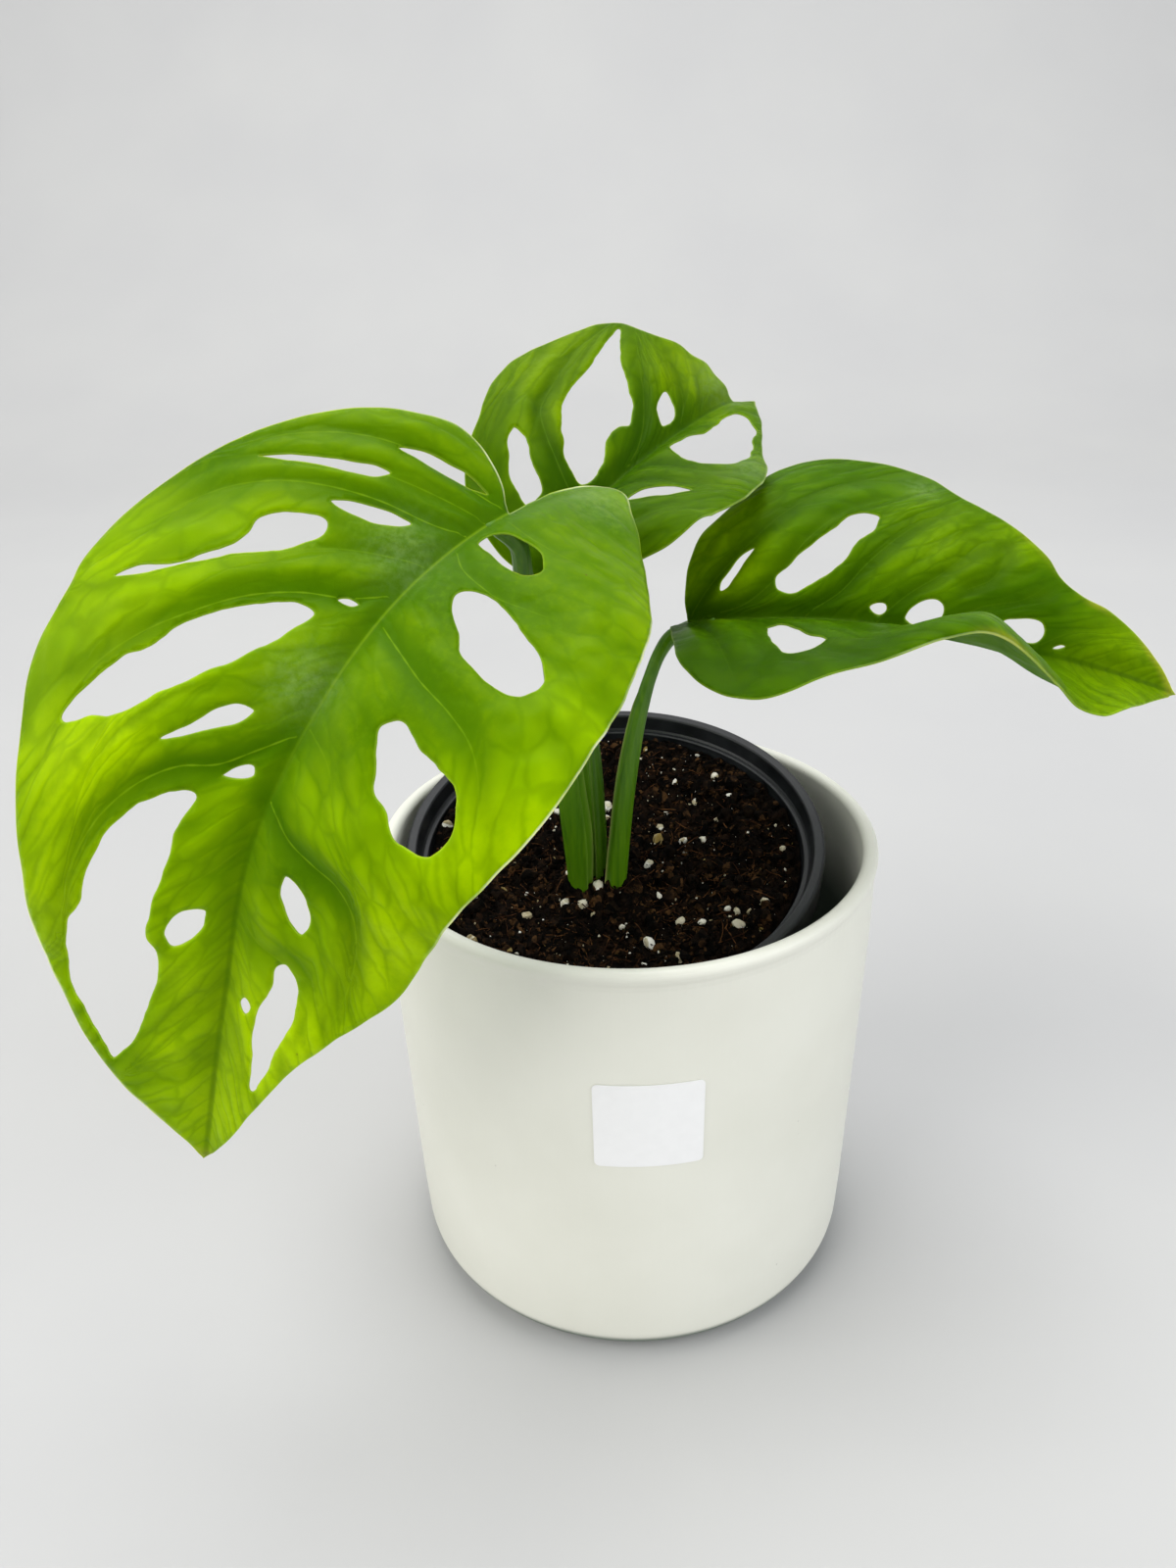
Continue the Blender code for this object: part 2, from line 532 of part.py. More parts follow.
def soil(finish, stalks):
    """Potting mix in the nursery pot's own frame: a tapered plug with a rough top, grains and stalk holes."""
    draw = random.Random(7)
    top = NURSERY_HEIGHT - SOIL_DROP
    bottom = NURSERY_WALL + CLEARANCE
    top_r = nursery_inner_radius(top) - CLEARANCE - 0.15
    bottom_r = nursery_inner_radius(bottom) - CLEARANCE - 0.15
    segments = 48
    shares = [1.0, 0.95, 0.87, 0.78, 0.68, 0.58, 0.48, 0.38, 0.28, 0.18, 0.09]
    phases = [draw.uniform(0, math.tau) for _ in range(8)]

    def height(x, y):
        wave = sum(math.sin((0.12 + 0.03 * k) * (x * math.cos(p) + y * math.sin(p)) + p)
                   for k, p in enumerate(phases))
        return top + SOIL_RELIEF * wave / 3.2

    body = bmesh.new()
    rings = []
    for radius, z in [(bottom_r, bottom), (top_r, top - 2.0)]:
        rings.append([(radius, a, z) for a in range(segments)])
    for share in shares:
        rings.append([(top_r * share - (0.6 if share == 1.0 else 0), a, None) for a in range(segments)])
    rows = []
    for ring in rings:
        row = []
        for radius, step, z in ring:
            angle = math.tau * step / segments
            x, y = radius * math.cos(angle), radius * math.sin(angle)
            row.append(body.verts.new((x * MM, y * MM, (height(x, y) if z is None else z) * MM)))
        rows.append(row)
    for low, high in zip(rows, rows[1:]):
        for a in range(segments):
            b = (a + 1) % segments
            body.faces.new((low[a], low[b], high[b], high[a]))
    body.faces.new(rows[0][::-1])
    centre = body.verts.new((0, 0, height(0, 0) * MM))
    for a in range(segments):
        body.faces.new((rows[-1][a], rows[-1][(a + 1) % segments], centre))
    mesh = bpy.data.meshes.new("soil")
    body.to_mesh(mesh)
    shade(mesh, 30.0)
    plug = add("soil", mesh, finish)
    frame = nursery_frame()
    plug.matrix_world = frame

    clear = [(frame.inverted() @ (Vector(route[1][:3]) * MM)).xy / MM for route in stalks]
    grains = bmesh.new()
    placed = []
    while len(placed) < LUMPS:
        radius = (top_r - 6) * math.sqrt(draw.random())
        angle = draw.uniform(0, math.tau)
        spot = Vector((radius * math.cos(angle), radius * math.sin(angle)))
        size = draw.uniform(*LUMP_SIZES)
        if any((spot - other).length < 7.5 for other in clear):
            continue
        if any((spot - other).length < size + reach + 1.0 for other, reach in placed):
            continue
        placed.append((spot, size))
        turn = Euler([draw.uniform(0, math.tau) for _ in range(3)]).to_matrix().to_4x4()
        stretch = Matrix.Diagonal((size * MM, size * MM * 0.8, size * MM * 0.7, 1))
        place = Matrix.Translation((spot.x * MM, spot.y * MM, (height(*spot) + size * 0.1) * MM))
        bmesh.ops.create_icosphere(grains, subdivisions=1, radius=1.0, matrix=place @ turn @ stretch)
    mesh = bpy.data.meshes.new("grains")
    grains.to_mesh(mesh)
    lumps = add("grains", mesh, group=cutters)
    lumps.matrix_world = frame
    boolean(plug, lumps, "UNION")

    for route in stalks:
        foot, above = Vector(route[0][:3]) * MM, Vector(route[2][:3]) * MM
        along = (above - foot).normalized()
        radius = (route[1][3] + CLEARANCE + 0.1) * MM
        start = foot - along * (CLEARANCE + 0.2) * MM
        depth = 30 * MM
        hole = bmesh.new()
        place = Matrix.Translation(start + along * depth / 2) @ along.to_track_quat("Z", "Y").to_matrix().to_4x4()
        bmesh.ops.create_cone(hole, cap_ends=True, segments=16, radius1=radius, radius2=radius,
                              depth=depth, matrix=place)
        mesh = bpy.data.meshes.new("stalk hole")
        hole.to_mesh(mesh)
        boolean(plug, add("stalk hole", mesh, group=cutters), "DIFFERENCE")
    return plug


# Label

def blank_label(finish):
    """A thin plate with round corners that follows the front of the cover pot."""
    low, high = LABEL_HEIGHTS
    middle = (low + high) / 2
    radius = cover_radius(middle)
    span = (LABEL_ANGLES[1] - LABEL_ANGLES[0]) * radius
    corner = [LABEL_CORNER * (1 - math.cos(math.radians(a))) for a in (0, 30, 60, 90)]
    inner = list(np.linspace(LABEL_CORNER, span - LABEL_CORNER, 10))
    across = corner + inner[1:-1] + [span - c for c in corner[::-1]]
    body = bmesh.new()
    columns = []
    for s in across:
        inset = max(0.0, LABEL_CORNER - min(s, span - s))
        cut = LABEL_CORNER - math.sqrt(max(0.0, LABEL_CORNER**2 - inset**2))
        angle = LABEL_ANGLES[0] + s / radius
        column = []
        for z in (low + cut, high - cut):
            r = cover_radius(z) + CLEARANCE
            column.append(body.verts.new((r * math.cos(angle) * MM, r * math.sin(angle) * MM, z * MM)))
        columns.append(column)
    for (a, b), (c, d) in zip(columns, columns[1:]):
        body.faces.new((a, c, d, b))
    mesh = bpy.data.meshes.new("blank_label")
    body.to_mesh(mesh)
    shade(mesh)
    label = add("blank_label", mesh, finish)
    thicken = label.modifiers.new("thickness", "SOLIDIFY")
    thicken.thickness = LABEL_THICKNESS * MM
    thicken.offset = 1.0
    return label


white_ceramic = material("white matte pot", (0.71, 0.73, 0.68), 0.45)
black_plastic = material("black plastic", (0.018, 0.019, 0.021), 0.4)
potting_mix = material("potting mix", (0.030, 0.018, 0.012), 0.95)
paper = material("white paper label", (0.85, 0.85, 0.84), 0.5)
leaf_green = material("leaf", (0.115, 0.27, 0.012), 0.35)
stalk_green = material("stalk", (0.10, 0.22, 0.02), 0.45)

cover_pot(white_ceramic)
nursery_pot(black_plastic)
soil(potting_mix, [FRONT_STALK, BACK_STALK, RIGHT_STALK])
blank_label(paper)
for side, route, leaf, spacing in [("front", FRONT_STALK, FRONT_LEAF, 5.0), ("back", BACK_STALK, BACK_LEAF, 4.6),
                                   ("right", RIGHT_STALK, RIGHT_LEAF, 4.2)]:
    add_blade(f"{side}_leaf", leaf, leaf_green, spacing, 3.0)
    add_stalk(f"{side}_stalk", route, leaf, STALK_TOP_R[side], stalk_green)
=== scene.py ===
# %% [markdown]
# # A young monstera adansonii in its pot
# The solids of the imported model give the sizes: a white cover pot, a black nursery pot that leans in it,
# soil, and three leaves on their stalks. This lesson dresses them. Everything is in metres, +Z up, and
# shapes that follow a leaf are worked out in millimetres first, because a leaf is easier to think of so.

import math

import bmesh
import bpy
import numpy as np
from mathutils import Euler, Matrix, Vector, geometry, kdtree, noise


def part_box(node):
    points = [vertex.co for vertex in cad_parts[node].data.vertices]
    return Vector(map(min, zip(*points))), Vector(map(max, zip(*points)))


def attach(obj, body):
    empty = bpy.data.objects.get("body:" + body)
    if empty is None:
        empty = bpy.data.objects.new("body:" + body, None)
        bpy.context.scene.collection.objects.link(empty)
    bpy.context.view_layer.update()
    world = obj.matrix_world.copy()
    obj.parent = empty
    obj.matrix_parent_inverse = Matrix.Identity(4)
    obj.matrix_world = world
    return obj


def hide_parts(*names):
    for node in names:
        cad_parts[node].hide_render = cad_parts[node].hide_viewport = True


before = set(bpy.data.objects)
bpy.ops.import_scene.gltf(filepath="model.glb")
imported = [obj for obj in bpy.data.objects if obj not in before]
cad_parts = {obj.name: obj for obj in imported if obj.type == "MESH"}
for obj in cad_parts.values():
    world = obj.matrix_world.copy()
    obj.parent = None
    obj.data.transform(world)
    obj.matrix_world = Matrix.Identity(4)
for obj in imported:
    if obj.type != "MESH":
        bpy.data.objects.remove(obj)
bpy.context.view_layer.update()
scene = bpy.context.scene
MM = 0.001

# %% [markdown]
# ## Camera, light and floor
# The photo was taken by hand from 27 cm in front of the pot and 27 cm above the table, looking down 27
# degrees. The camera's place was found from the two pots' rims, so it stands here as measured sizes. The
# plant was lit by big soft windows on a pale seamless sheet, which are large area lights and a bright even
# world in Blender, and a floor that sweeps up behind.

# %% Camera
CAMERA_AT = Vector((-0.0096, -0.27114, 0.27477))
LOOK_DOWN = math.radians(27.28)
ROLL = math.radians(-1.64)
LENS = 28.125
SENSOR = 36.0


def add_object(name, data):
    made = bpy.data.objects.new(name, data)
    scene.collection.objects.link(made)
    return made


camera = add_object("camera", bpy.data.cameras.new("camera"))
camera.data.lens = LENS
camera.data.sensor_width = SENSOR
camera.data.clip_start = 0.01
turn = Matrix.Rotation(math.pi / 2 - LOOK_DOWN, 4, "X") @ Matrix.Rotation(ROLL, 4, "Z")
camera.matrix_world = Matrix.Translation(CAMERA_AT) @ turn
scene.camera = camera
print("camera at", tuple(round(v, 3) for v in CAMERA_AT))


# %% Colours and nodes
def linear(colour):
    """A hex sRGB colour as the linear values that a shader takes."""
    parts = [int(colour[i:i + 2], 16) / 255 for i in (1, 3, 5)]
    return [c / 12.92 if c <= 0.04045 else ((c + 0.055) / 1.055) ** 2.4 for c in parts] + [1.0]


def node(tree, kind, links=(), values=(), stops=(), **settings):
    """Adds a node. Links and values are pairs of an input and what it gets, stops are a colour ramp's.

    Settings are the node's own properties, or its inputs by name, with _ for a space.
    """
    made = tree.nodes.new(kind)
    for key, value in settings.items():
        if hasattr(made, key):
            setattr(made, key, value)
        else:
            made.inputs[key.replace("_", " ")].default_value = value
    for key, value in values:
        made.inputs[key].default_value = value
    for key, source in links:
        tree.links.new(source, made.inputs[key])
    for k, (position, colour) in enumerate(stops):
        stop = made.color_ramp.elements[k] if k < 2 else made.color_ramp.elements.new(position)
        stop.position = position
        stop.color = linear(colour)
    return made


def new_material(name):
    """A material with one Principled BSDF: the material, its nodes and that surface."""
    made = bpy.data.materials.new(name)
    made.use_nodes = True
    tree = made.node_tree
    tree.nodes.clear()
    surface = node(tree, "ShaderNodeBsdfPrincipled")
    node(tree, "ShaderNodeOutputMaterial", [("Surface", surface.outputs[0])])
    return made, tree, surface


# %% Meshes
def quads(rings, count, closed=True):
    """The faces between rings of points that are listed one ring after another."""
    return [(r * count + a, r * count + (a + 1) % count, (r + 1) * count + (a + 1) % count,
             (r + 1) * count + a) for r in range(rings - 1) for a in range(count if closed else count - 1)]


def add_mesh(name, points, faces, edges=(), smooth=True):
    mesh = bpy.data.meshes.new(name)
    mesh.from_pydata(points, edges, faces)
    mesh.polygons.foreach_set("use_smooth", [smooth] * len(mesh.polygons))
    return add_object(name, mesh)


def add_field(mesh, name, values):
    """Keeps one number for each point, which the material reads by its name."""
    layer = mesh.attributes.new(name, "FLOAT", "POINT")
    layer.data.foreach_set("value", np.asarray(values, np.float32))


def finish_piece(piece, material, replaced):
    """Gives a piece its material, says which body it rides on, and hides the solid that it stands for."""
    piece.data.materials.clear()
    piece.data.materials.append(material)
    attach(piece, "root")
    if replaced:
        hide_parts(replaced)


# %% Floor and light
def seamless_sheet(width=6.0, front=-2.5, back=1.6, rise=2.6, bend=0.7):
    """A floor that curves up into a backdrop."""
    profile = [(front, 0.0), (back - bend, 0.0)]
    profile += [(back - bend + bend * math.sin(a), bend - bend * math.cos(a))
                for a in np.linspace(0, math.pi / 2, 17)[1:]]
    profile += [(back, rise)]
    points = [(x, y, z) for y, z in profile for x in (-width / 2, width / 2)]
    made = add_mesh("seamless_sheet", points, quads(len(profile), 2, closed=False))
    paper, tree, surface = new_material("matt white background paper")
    place = node(tree, "ShaderNodeTexCoord").outputs["Object"]
    mottle = node(tree, "ShaderNodeTexNoise", [("Vector", place)], Scale=5.0, Detail=4.0)
    colour = node(tree, "ShaderNodeValToRGB", [("Fac", mottle.outputs[0])],
                  stops=[(0.3, "#B9B9B9"), (0.7, "#BDBDBC")])
    tree.links.new(colour.outputs[0], surface.inputs["Base Color"])
    surface.inputs["Roughness"].default_value = 0.9
    surface.inputs["Specular IOR Level"].default_value = 0.1
    made.data.materials.append(paper)


# Each light: its place, what it faces, its diameter, its power in watts and its colour.
LIGHTS = {
    "window": ((-1.25, -0.75, 1.3), (0, 0, 0.1), 1.6, 25.0, "#FFFEFA"),
    "far_window": ((1.3, -0.6, 0.95), (0, 0, 0.15), 1.2, 11.5, "#F8FBFF"),
    "room_fill": ((0.5, -1.5, 0.6), (0.05, 0, 0.15), 1.6, 4.5, "#FFFFFF"),
    "ceiling_bounce": ((-0.2, 0.7, 1.9), (0, 0, 0.15), 1.6, 10.0, "#FBFCFF"),
    "backdrop_light": ((0.2, 0.35, 2.4), (0.2, 1.5, 0.5), 1.4, 28.5, "#FFFFFF"),
}
WORLD_STRENGTH = 0.39

seamless_sheet()
for name, (at, towards, size, power, colour) in LIGHTS.items():
    lamp = bpy.data.lights.new(name, "AREA")
    lamp.shape = "DISK"
    lamp.size = size
    lamp.energy = power
    lamp.color = linear(colour)[:3]
    light = add_object(name, lamp)
    light.location = at
    light.rotation_euler = (Vector(towards) - Vector(at)).to_track_quat("-Z", "Y").to_euler()
world = bpy.data.worlds.new("bright room")
scene.world = world
world.use_nodes = True
world.node_tree.nodes["Background"].inputs["Color"].default_value = linear("#F4F6F8")
world.node_tree.nodes["Background"].inputs["Strength"].default_value = WORLD_STRENGTH
scene.view_settings.view_transform = "Standard"
print("lights:", ", ".join(LIGHTS))

# %% [markdown]
# ## Leaves
# A monstera leaf is one thin waxy sheet. Growers would call its parts the midrib, the side veins and the
# holes between them. The sheet is cut out flat here, like paper: its edge and holes are smooth closed
# curves, filled with triangles that also follow the veins. Each flat point is then carried to the curved
# leaf: along the midrib first, then sideways while turning by the angles given at stations along it.
# Cutting flat keeps every hole's true shape, which a sculpted or extruded leaf would lose.

# %% The three leaves, in millimetres
# midrib: points, the first one behind the stalk's end and the second one at it. facing: the way that the
# upper face looks. bends: at stations along the midrib, the degrees that each half turns away from it at
# the midrib, at reach and at twice reach. edges and holes: flat outlines, x along the midrib, y across.
# veins: a strength and a line of flat points from the midrib outwards. tones: soft round patches where the
# green is lighter or darker, partly the leaf's own tone and partly painted light and painted shade, each
# with its place, its radius and how much. dry: where the margin has gone yellow or brown, painted_sheen:
# where a grey-green sheen is painted on the wax, and pale: where the margin is worn pale, each as places
# with their radii. wave: how deep the margin's waves are.
FRONT_LEAF = dict(
    midrib=[(-7, -9, 212), (-23.5, -28, 211.5), (-44.5, -52.5, 201.5), (-57.5, -71, 188),
            (-69.5, -79.5, 168), (-79.5, -83.5, 134.5), (-89.5, -84.5, 95.5)],
    facing=(0.1, -0.6, 0.8),
    reach=30.0,
    bends=[(-20, (5, -12, -35), (10, -10, -40)), (0, (12, -5, -30), (22, 5, -35)),
           (40, (15, 0, -20), (22, 0, -30)), (80, (15, 0, -20), (18, 0, -35)),
           (120, (15, 0, -20), (15, -5, -35)), (160, (10, 0, -20), (10, -5, -30))],
    edges=[[(0, 0), (-8, -0.5), (-19, -1), (-27, 1), (-29.5, 5.5), (-25.5, 12.5), (-14, 27.5), (-4, 36),
            (6.5, 41.5), (20, 46), (33, 48), (48, 48), (61.5, 46.5), (70, 44), (82.5, 40.5), (96, 37.5),
            (108, 33.5), (120.5, 23), (130, 16.5), (141.5, 10.5), (154.3, 4.4), (158.6, 1.8), (161.5, -0.4)],
           [(0, 0), (-2.5, -6), (-3.5, -13), (-2, -21), (3.5, -26.5), (17, -37.5), (29.5, -46.5),
            (38, -51), (46.5, -53.5), (63, -53.5), (76.5, -53.5), (88, -46.5), (101.5, -40.5),
            (110, -38), (116, -36.3), (121.5, -34), (128, -29.6), (134.5, -25.6), (140.5, -21.3),
            (147, -15), (152, -9.2), (156.6, -4.3), (161.5, -0.4)]],
    holes=[[(2, -5), (5.4, -9), (8.7, -14.8), (11, -21.8), (8.2, -19.2), (5.4, -14.5), (3, -9)],
           [(16, -18.5), (18, -19), (21, -23), (24.5, -30), (28, -38.5), (23.5, -31.5), (19.5, -25),
            (16.5, -20.5)],
           [(20, -8.5), (21.5, -9), (25.5, -13.5), (27, -21.5), (25, -19), (23, -15.5), (20.5, -11)],
           [(31, -18.5), (32.5, -18), (36, -19.5), (44.5, -28.5), (49, -34), (55.5, -44.5),
            (53, -42.5), (50, -36.5), (46.5, -33), (39.5, -28.5), (36.5, -29), (33.5, -26)],
           [(39, -4.5), (40, -5), (40.5, -8), (39, -6.5)],
           [(46, -9.5), (48, -10), (52.5, -12), (63.5, -19), (70.5, -24.5), (78.5, -33.5),
            (81, -40.5), (77, -39), (69, -35), (65.5, -31.5), (59.5, -28.5), (54.5, -24.5), (48, -18)],
           [(66, -9), (67.5, -9.5), (71, -13), (77, -21.5), (72, -17), (68, -14.5), (66, -12)],
           [(74.5, -4.5), (75.5, -4), (78, -9), (76, -7.5)],
           [(83, -12), (88, -13), (97.5, -13.8), (104, -14.8), (109, -15.2), (112, -13.3), (118, -12.6),
            (125.5, -13.8), (132, -15.2), (136.2, -17.2), (138.8, -19.2), (135.5, -21.4), (129.5, -25.6),
            (121, -29.8), (115.5, -30.4), (110, -29.8), (105, -27.6), (98, -27), (91.8, -24),
            (86.8, -20.2), (83.6, -16)],
           [(102, -5), (104.5, -5), (110, -11), (108.5, -12), (105, -11), (103, -9)],
           [(9.5, 2.5), (12, 2.5), (14, 7.5), (13.5, 16), (10, 17), (7, 15), (5.5, 10), (6.5, 5.5)],
           [(26.5, 9), (30, 10.5), (35.5, 15.5), (39.5, 19), (43, 25.5), (42.5, 32), (36.5, 33.5),
            (31, 31.5), (26.5, 24.5), (23.5, 18), (23, 13.5)],
           [(58, 13), (61, 14), (64, 16), (67, 17.5), (69.5, 22), (72.5, 25.5), (72.5, 32.5),
            (66, 33.5), (62.5, 31.5), (59, 22), (56.5, 15)],
           [(90, 8.5), (93, 8), (96.5, 10), (100.5, 14), (96.5, 15), (93, 14)],
           [(108, 11.5), (109, 10), (113, 9.5), (121.5, 7.5), (128.5, 7.5), (138.5, 8.5),
            (128, 12.5), (120, 14.5), (114.5, 15), (110.5, 14)],
           [(118, 4.5), (119.5, 3.5), (121.5, 5), (119.5, 6)]],
    veins=[(1.0, [(39.5, 0.5), (44.3, 8.3), (48, 14.5), (51.5, 22.6), (54.9, 28.9), (59.3, 33.5), (66, 38)]),
           (1.0, [(79, 0.5), (83.6, 7), (85.8, 13.3), (87.4, 18.3), (91.1, 22), (98, 24.3), (105.5, 24.5),
                  (115.5, 22.6), (123, 19.8)]),
           (0.8, [(16.5, 0.5), (20, 5), (21.8, 11), (22.4, 15.8), (21, 22), (19, 28)]),
           (0.5, [(3, 0.5), (4, 8), (3.5, 16), (1, 24), (-1, 30)]),
           (0.4, [(64, 0.5), (68, 8), (72, 12)]),
           (0.4, [(101, 0.5), (106, 6), (107.5, 10), (111, 17), (118, 19)]),
           (0.3, [(124, 0.5), (131, 4.5), (140, 7)]),
           (1.0, [(1, -0.5), (4, -6), (11.1, -23), (20.5, -35.5), (29.3, -45)]),
           (0.6, [(7, -0.5), (10, -6), (15.5, -16), (19.5, -24), (25, -34), (32, -45)]),
           (1.0, [(12.5, -0.5), (16.1, -5), (21.1, -15.5), (25.5, -24.3), (30.5, -33), (38, -41.8),
                  (46, -47)]),
           (0.5, [(24, -0.5), (29, -8), (34, -15), (42, -24)]),
           (1.0, [(33, -0.5), (39.3, -6.8), (43.6, -14.3), (49.3, -21.8), (56.8, -28.6), (64.3, -34.3),
                  (73, -39.3), (80.5, -41.3), (88, -41)]),
           (1.0, [(66, -0.5), (71.8, -5.5), (76.8, -10.5), (79.9, -16.8), (85.5, -23), (93, -28),
                  (103, -30.7), (113, -31), (123, -29)]),
           (0.4, [(88, -0.5), (94, -5), (100, -11)]),
           (0.4, [(117, -0.5), (124, -6), (132, -11)]),
           (0.4, [(132, -0.5), (138, -6), (141, -14)])],
    tones=[(40, 40, 13, 0.3), (68, 39, 12, 0.6), (97, 29, 13, 0.9), (124, 15, 12, 0.9), (61, 24, 6, 0.3),
           (50, -43, 9, 0.3), (80, -25, 6, 0.5), (66, -22, 7, 0.4), (86, -35, 10, 0.7), (106, -30, 10, 0.6),
           (148, 1, 10, 0.9), (60, -16, 8, 0.1), (134, -9, 5, 0.4), (120, -3, 9, 0.5),
           (133, 8, 7, 0.4), (0, -2, 14, -0.7), (-18, 6, 12, -0.6), (22, -9, 14, -0.6),
           (27, 8, 10, -0.6), (46, -9, 9, -0.4),
           (44, -23, 7, -0.4), (62, 7, 8, -0.3), (84, -16, 5, -0.5), (136, -15, 6, -0.5), (15, -32, 9, -0.4),
           (46, 14, 6, -0.4), (88, 8, 6, -0.3), (-12, 26, 18, -0.4), (20, 22, 20, -0.65), (52, 26, 12, -0.6),
           (30, -47, 13, -1.0), (64, -9, 9, -0.5), (-20, 16, 9, -0.3), (38, 16, 26, -0.25),
           (92, 16, 10, -0.5), (72, -14, 9, -0.4), (60, 14, 9, -0.4),
           (29, -19, 6, -0.4), (0, -28, 7, -0.5), (90, 11, 7, -0.5), (6, 50, 8, -0.4),
           (106, 14, 7, -0.5), (148, -8, 5, -0.5), (-1, -18, 6, -0.3)],
    painted_sheen=[(-22, 4, 9), (25, -5, 7), (57, -4, 6)],
    pale=[(12, 43, 14), (35, 48, 14), (58, 47, 14), (80, 41, 12), (-2, -14, 12), (-26, 3, 8), (118, -35, 10),
          (146, -16, 8)],
    dry=[(160, 0, 2.5)], wave=0.3,
)

BACK_LEAF = dict(
    midrib=[(-21.5, 0, 181.5), (-16, 5, 188.5), (-7.5, 17.5, 199.5), (1.5, 29.5, 205), (12.5, 43, 210),
            (26.5, 59, 214.5), (37, 72, 215.5)],
    facing=(-0.2, -0.85, 0.5),
    reach=20.0,
    bends=[(-10, (25, 10, -5), (40, 25, 5)), (0, (25, 10, -8), (45, 25, 10)),
           (25, (25, 5, -8), (45, 25, 10)), (50, (20, 0, -12), (35, 20, 0)),
           (90, (15, 0, -20), (20, 0, -20))],
    edges=[[(0, 0), (-3.5, 1.5), (-5, 6), (-4, 13), (-2, 18), (1.5, 22.5), (8.5, 27.5), (19.5, 34),
            (34.5, 41.5), (45, 43.5), (58.5, 41.2), (64, 39.8), (69.5, 38.2), (74, 34.6),
            (75.4, 30), (77.4, 25.2), (80.3, 20.4), (80.9, 16.2), (83.2, 12), (83.1, 8.2), (84.4, 4),
            (84.2, 0.8), (86.6, -2), (88.5, -3.8)],
           [(0, 0), (-2, -7.5), (-0.5, -16), (3.5, -25), (8.5, -31.5), (16, -34.5), (27, -36),
            (38, -35.5), (49.5, -32), (61, -24), (76.5, -13.6), (84, -7.8), (88.5, -3.8)]],
    holes=[[(24.5, 27), (24, 24), (19.5, 17.5), (14.5, 11), (11, 12), (12.5, 16), (19, 23.5),
            (22.5, 26.5)],
           [(71.2, 33.3), (67.2, 29.4), (60.6, 22.6), (55.6, 15.4), (49, 9), (46.6, 8), (44.6, 9.4),
            (39, 9), (33.5, 6), (27.5, 4), (22.5, 5), (23.5, 9.5), (29.5, 16.5), (34.5, 20.5),
            (40.5, 24), (56.5, 28.5), (64, 31.5)],
           [(58, 8), (61.5, 10), (64, 10), (63.5, 7.5), (58, 2.5), (55, 3)],
           [(50, -3.6), (53, -4.3), (56.2, -4.9), (58.6, -7.6), (64.5, -6.9), (71, -6.1), (75.2, -6.8),
            (75.6, -9), (73, -12.6), (70.6, -15.4), (66, -18), (61, -20.8), (55.5, -23.6), (50, -24.6),
            (45, -22.5), (42.5, -18.5), (42.5, -14), (44.6, -9.5), (47, -6)],
           [(20, -11.5), (23, -12), (26, -14.5), (28, -22), (27.5, -24.5), (24.5, -22.5), (21, -15.5)]],
    veins=[(0.9, [(17, 0.5), (20, 7), (24, 14), (27, 19), (32, 25), (42, 29.5), (50.3, 32.3), (60.3, 35),
                  (72, 36)]),
           (1.0, [(36, 0.5), (44, 2.5), (50.3, 6), (57.8, 12.5), (65.3, 21), (72, 28.5)]),
           (0.7, [(60, 0.5), (66, 5), (70, 11), (73, 18), (75, 25)]),
           (0.6, [(69, 0.5), (74, 4.5), (78, 9), (80, 14)]),
           (0.6, [(6, 0.5), (5, 10), (9, 20), (18, 29), (30, 35), (42, 38)]),
           (0.9, [(35.5, -0.5), (38.7, -7.3), (38.5, -15.7), (39.5, -23.2), (44, -29)]),
           (0.8, [(24, -0.5), (28.7, -5.7), (30.8, -14), (31.2, -20.7), (33.7, -27)]),
           (0.7, [(4, -0.5), (8, -10), (14, -20), (22, -29)])],
    tones=[(20, 30, 10, 0.2), (42, 36, 12, 0.8), (60, 38, 10, 0.6), (36, 18, 9, 0.9),
           (76, 14, 11, 1.0), (66, -2, 9, 0.3), (66, 12, 6, 0.4), (60, -28, 6, 0.2),
           (47, 4, 10, -0.7), (62, 3, 8, -0.5), (18, -6, 14, -0.8),
           (18, 6, 10, -0.7), (76, 32, 7, -0.2), (32, 27, 4, -0.4), (30, -24, 9, -0.3), (32, 19, 8, 0.6),
           (76, 6, 8, 0.5), (74, -24, 9, -0.6), (62, -5, 5, -0.5), (38, 46, 7, -0.5)],
    painted_sheen=[(82, 6, 7), (48, -29, 7)],
    pale=[(40, -35, 16), (88, -4, 6)],
    dry=[(90, -3, 3)], wave=0.4,
)

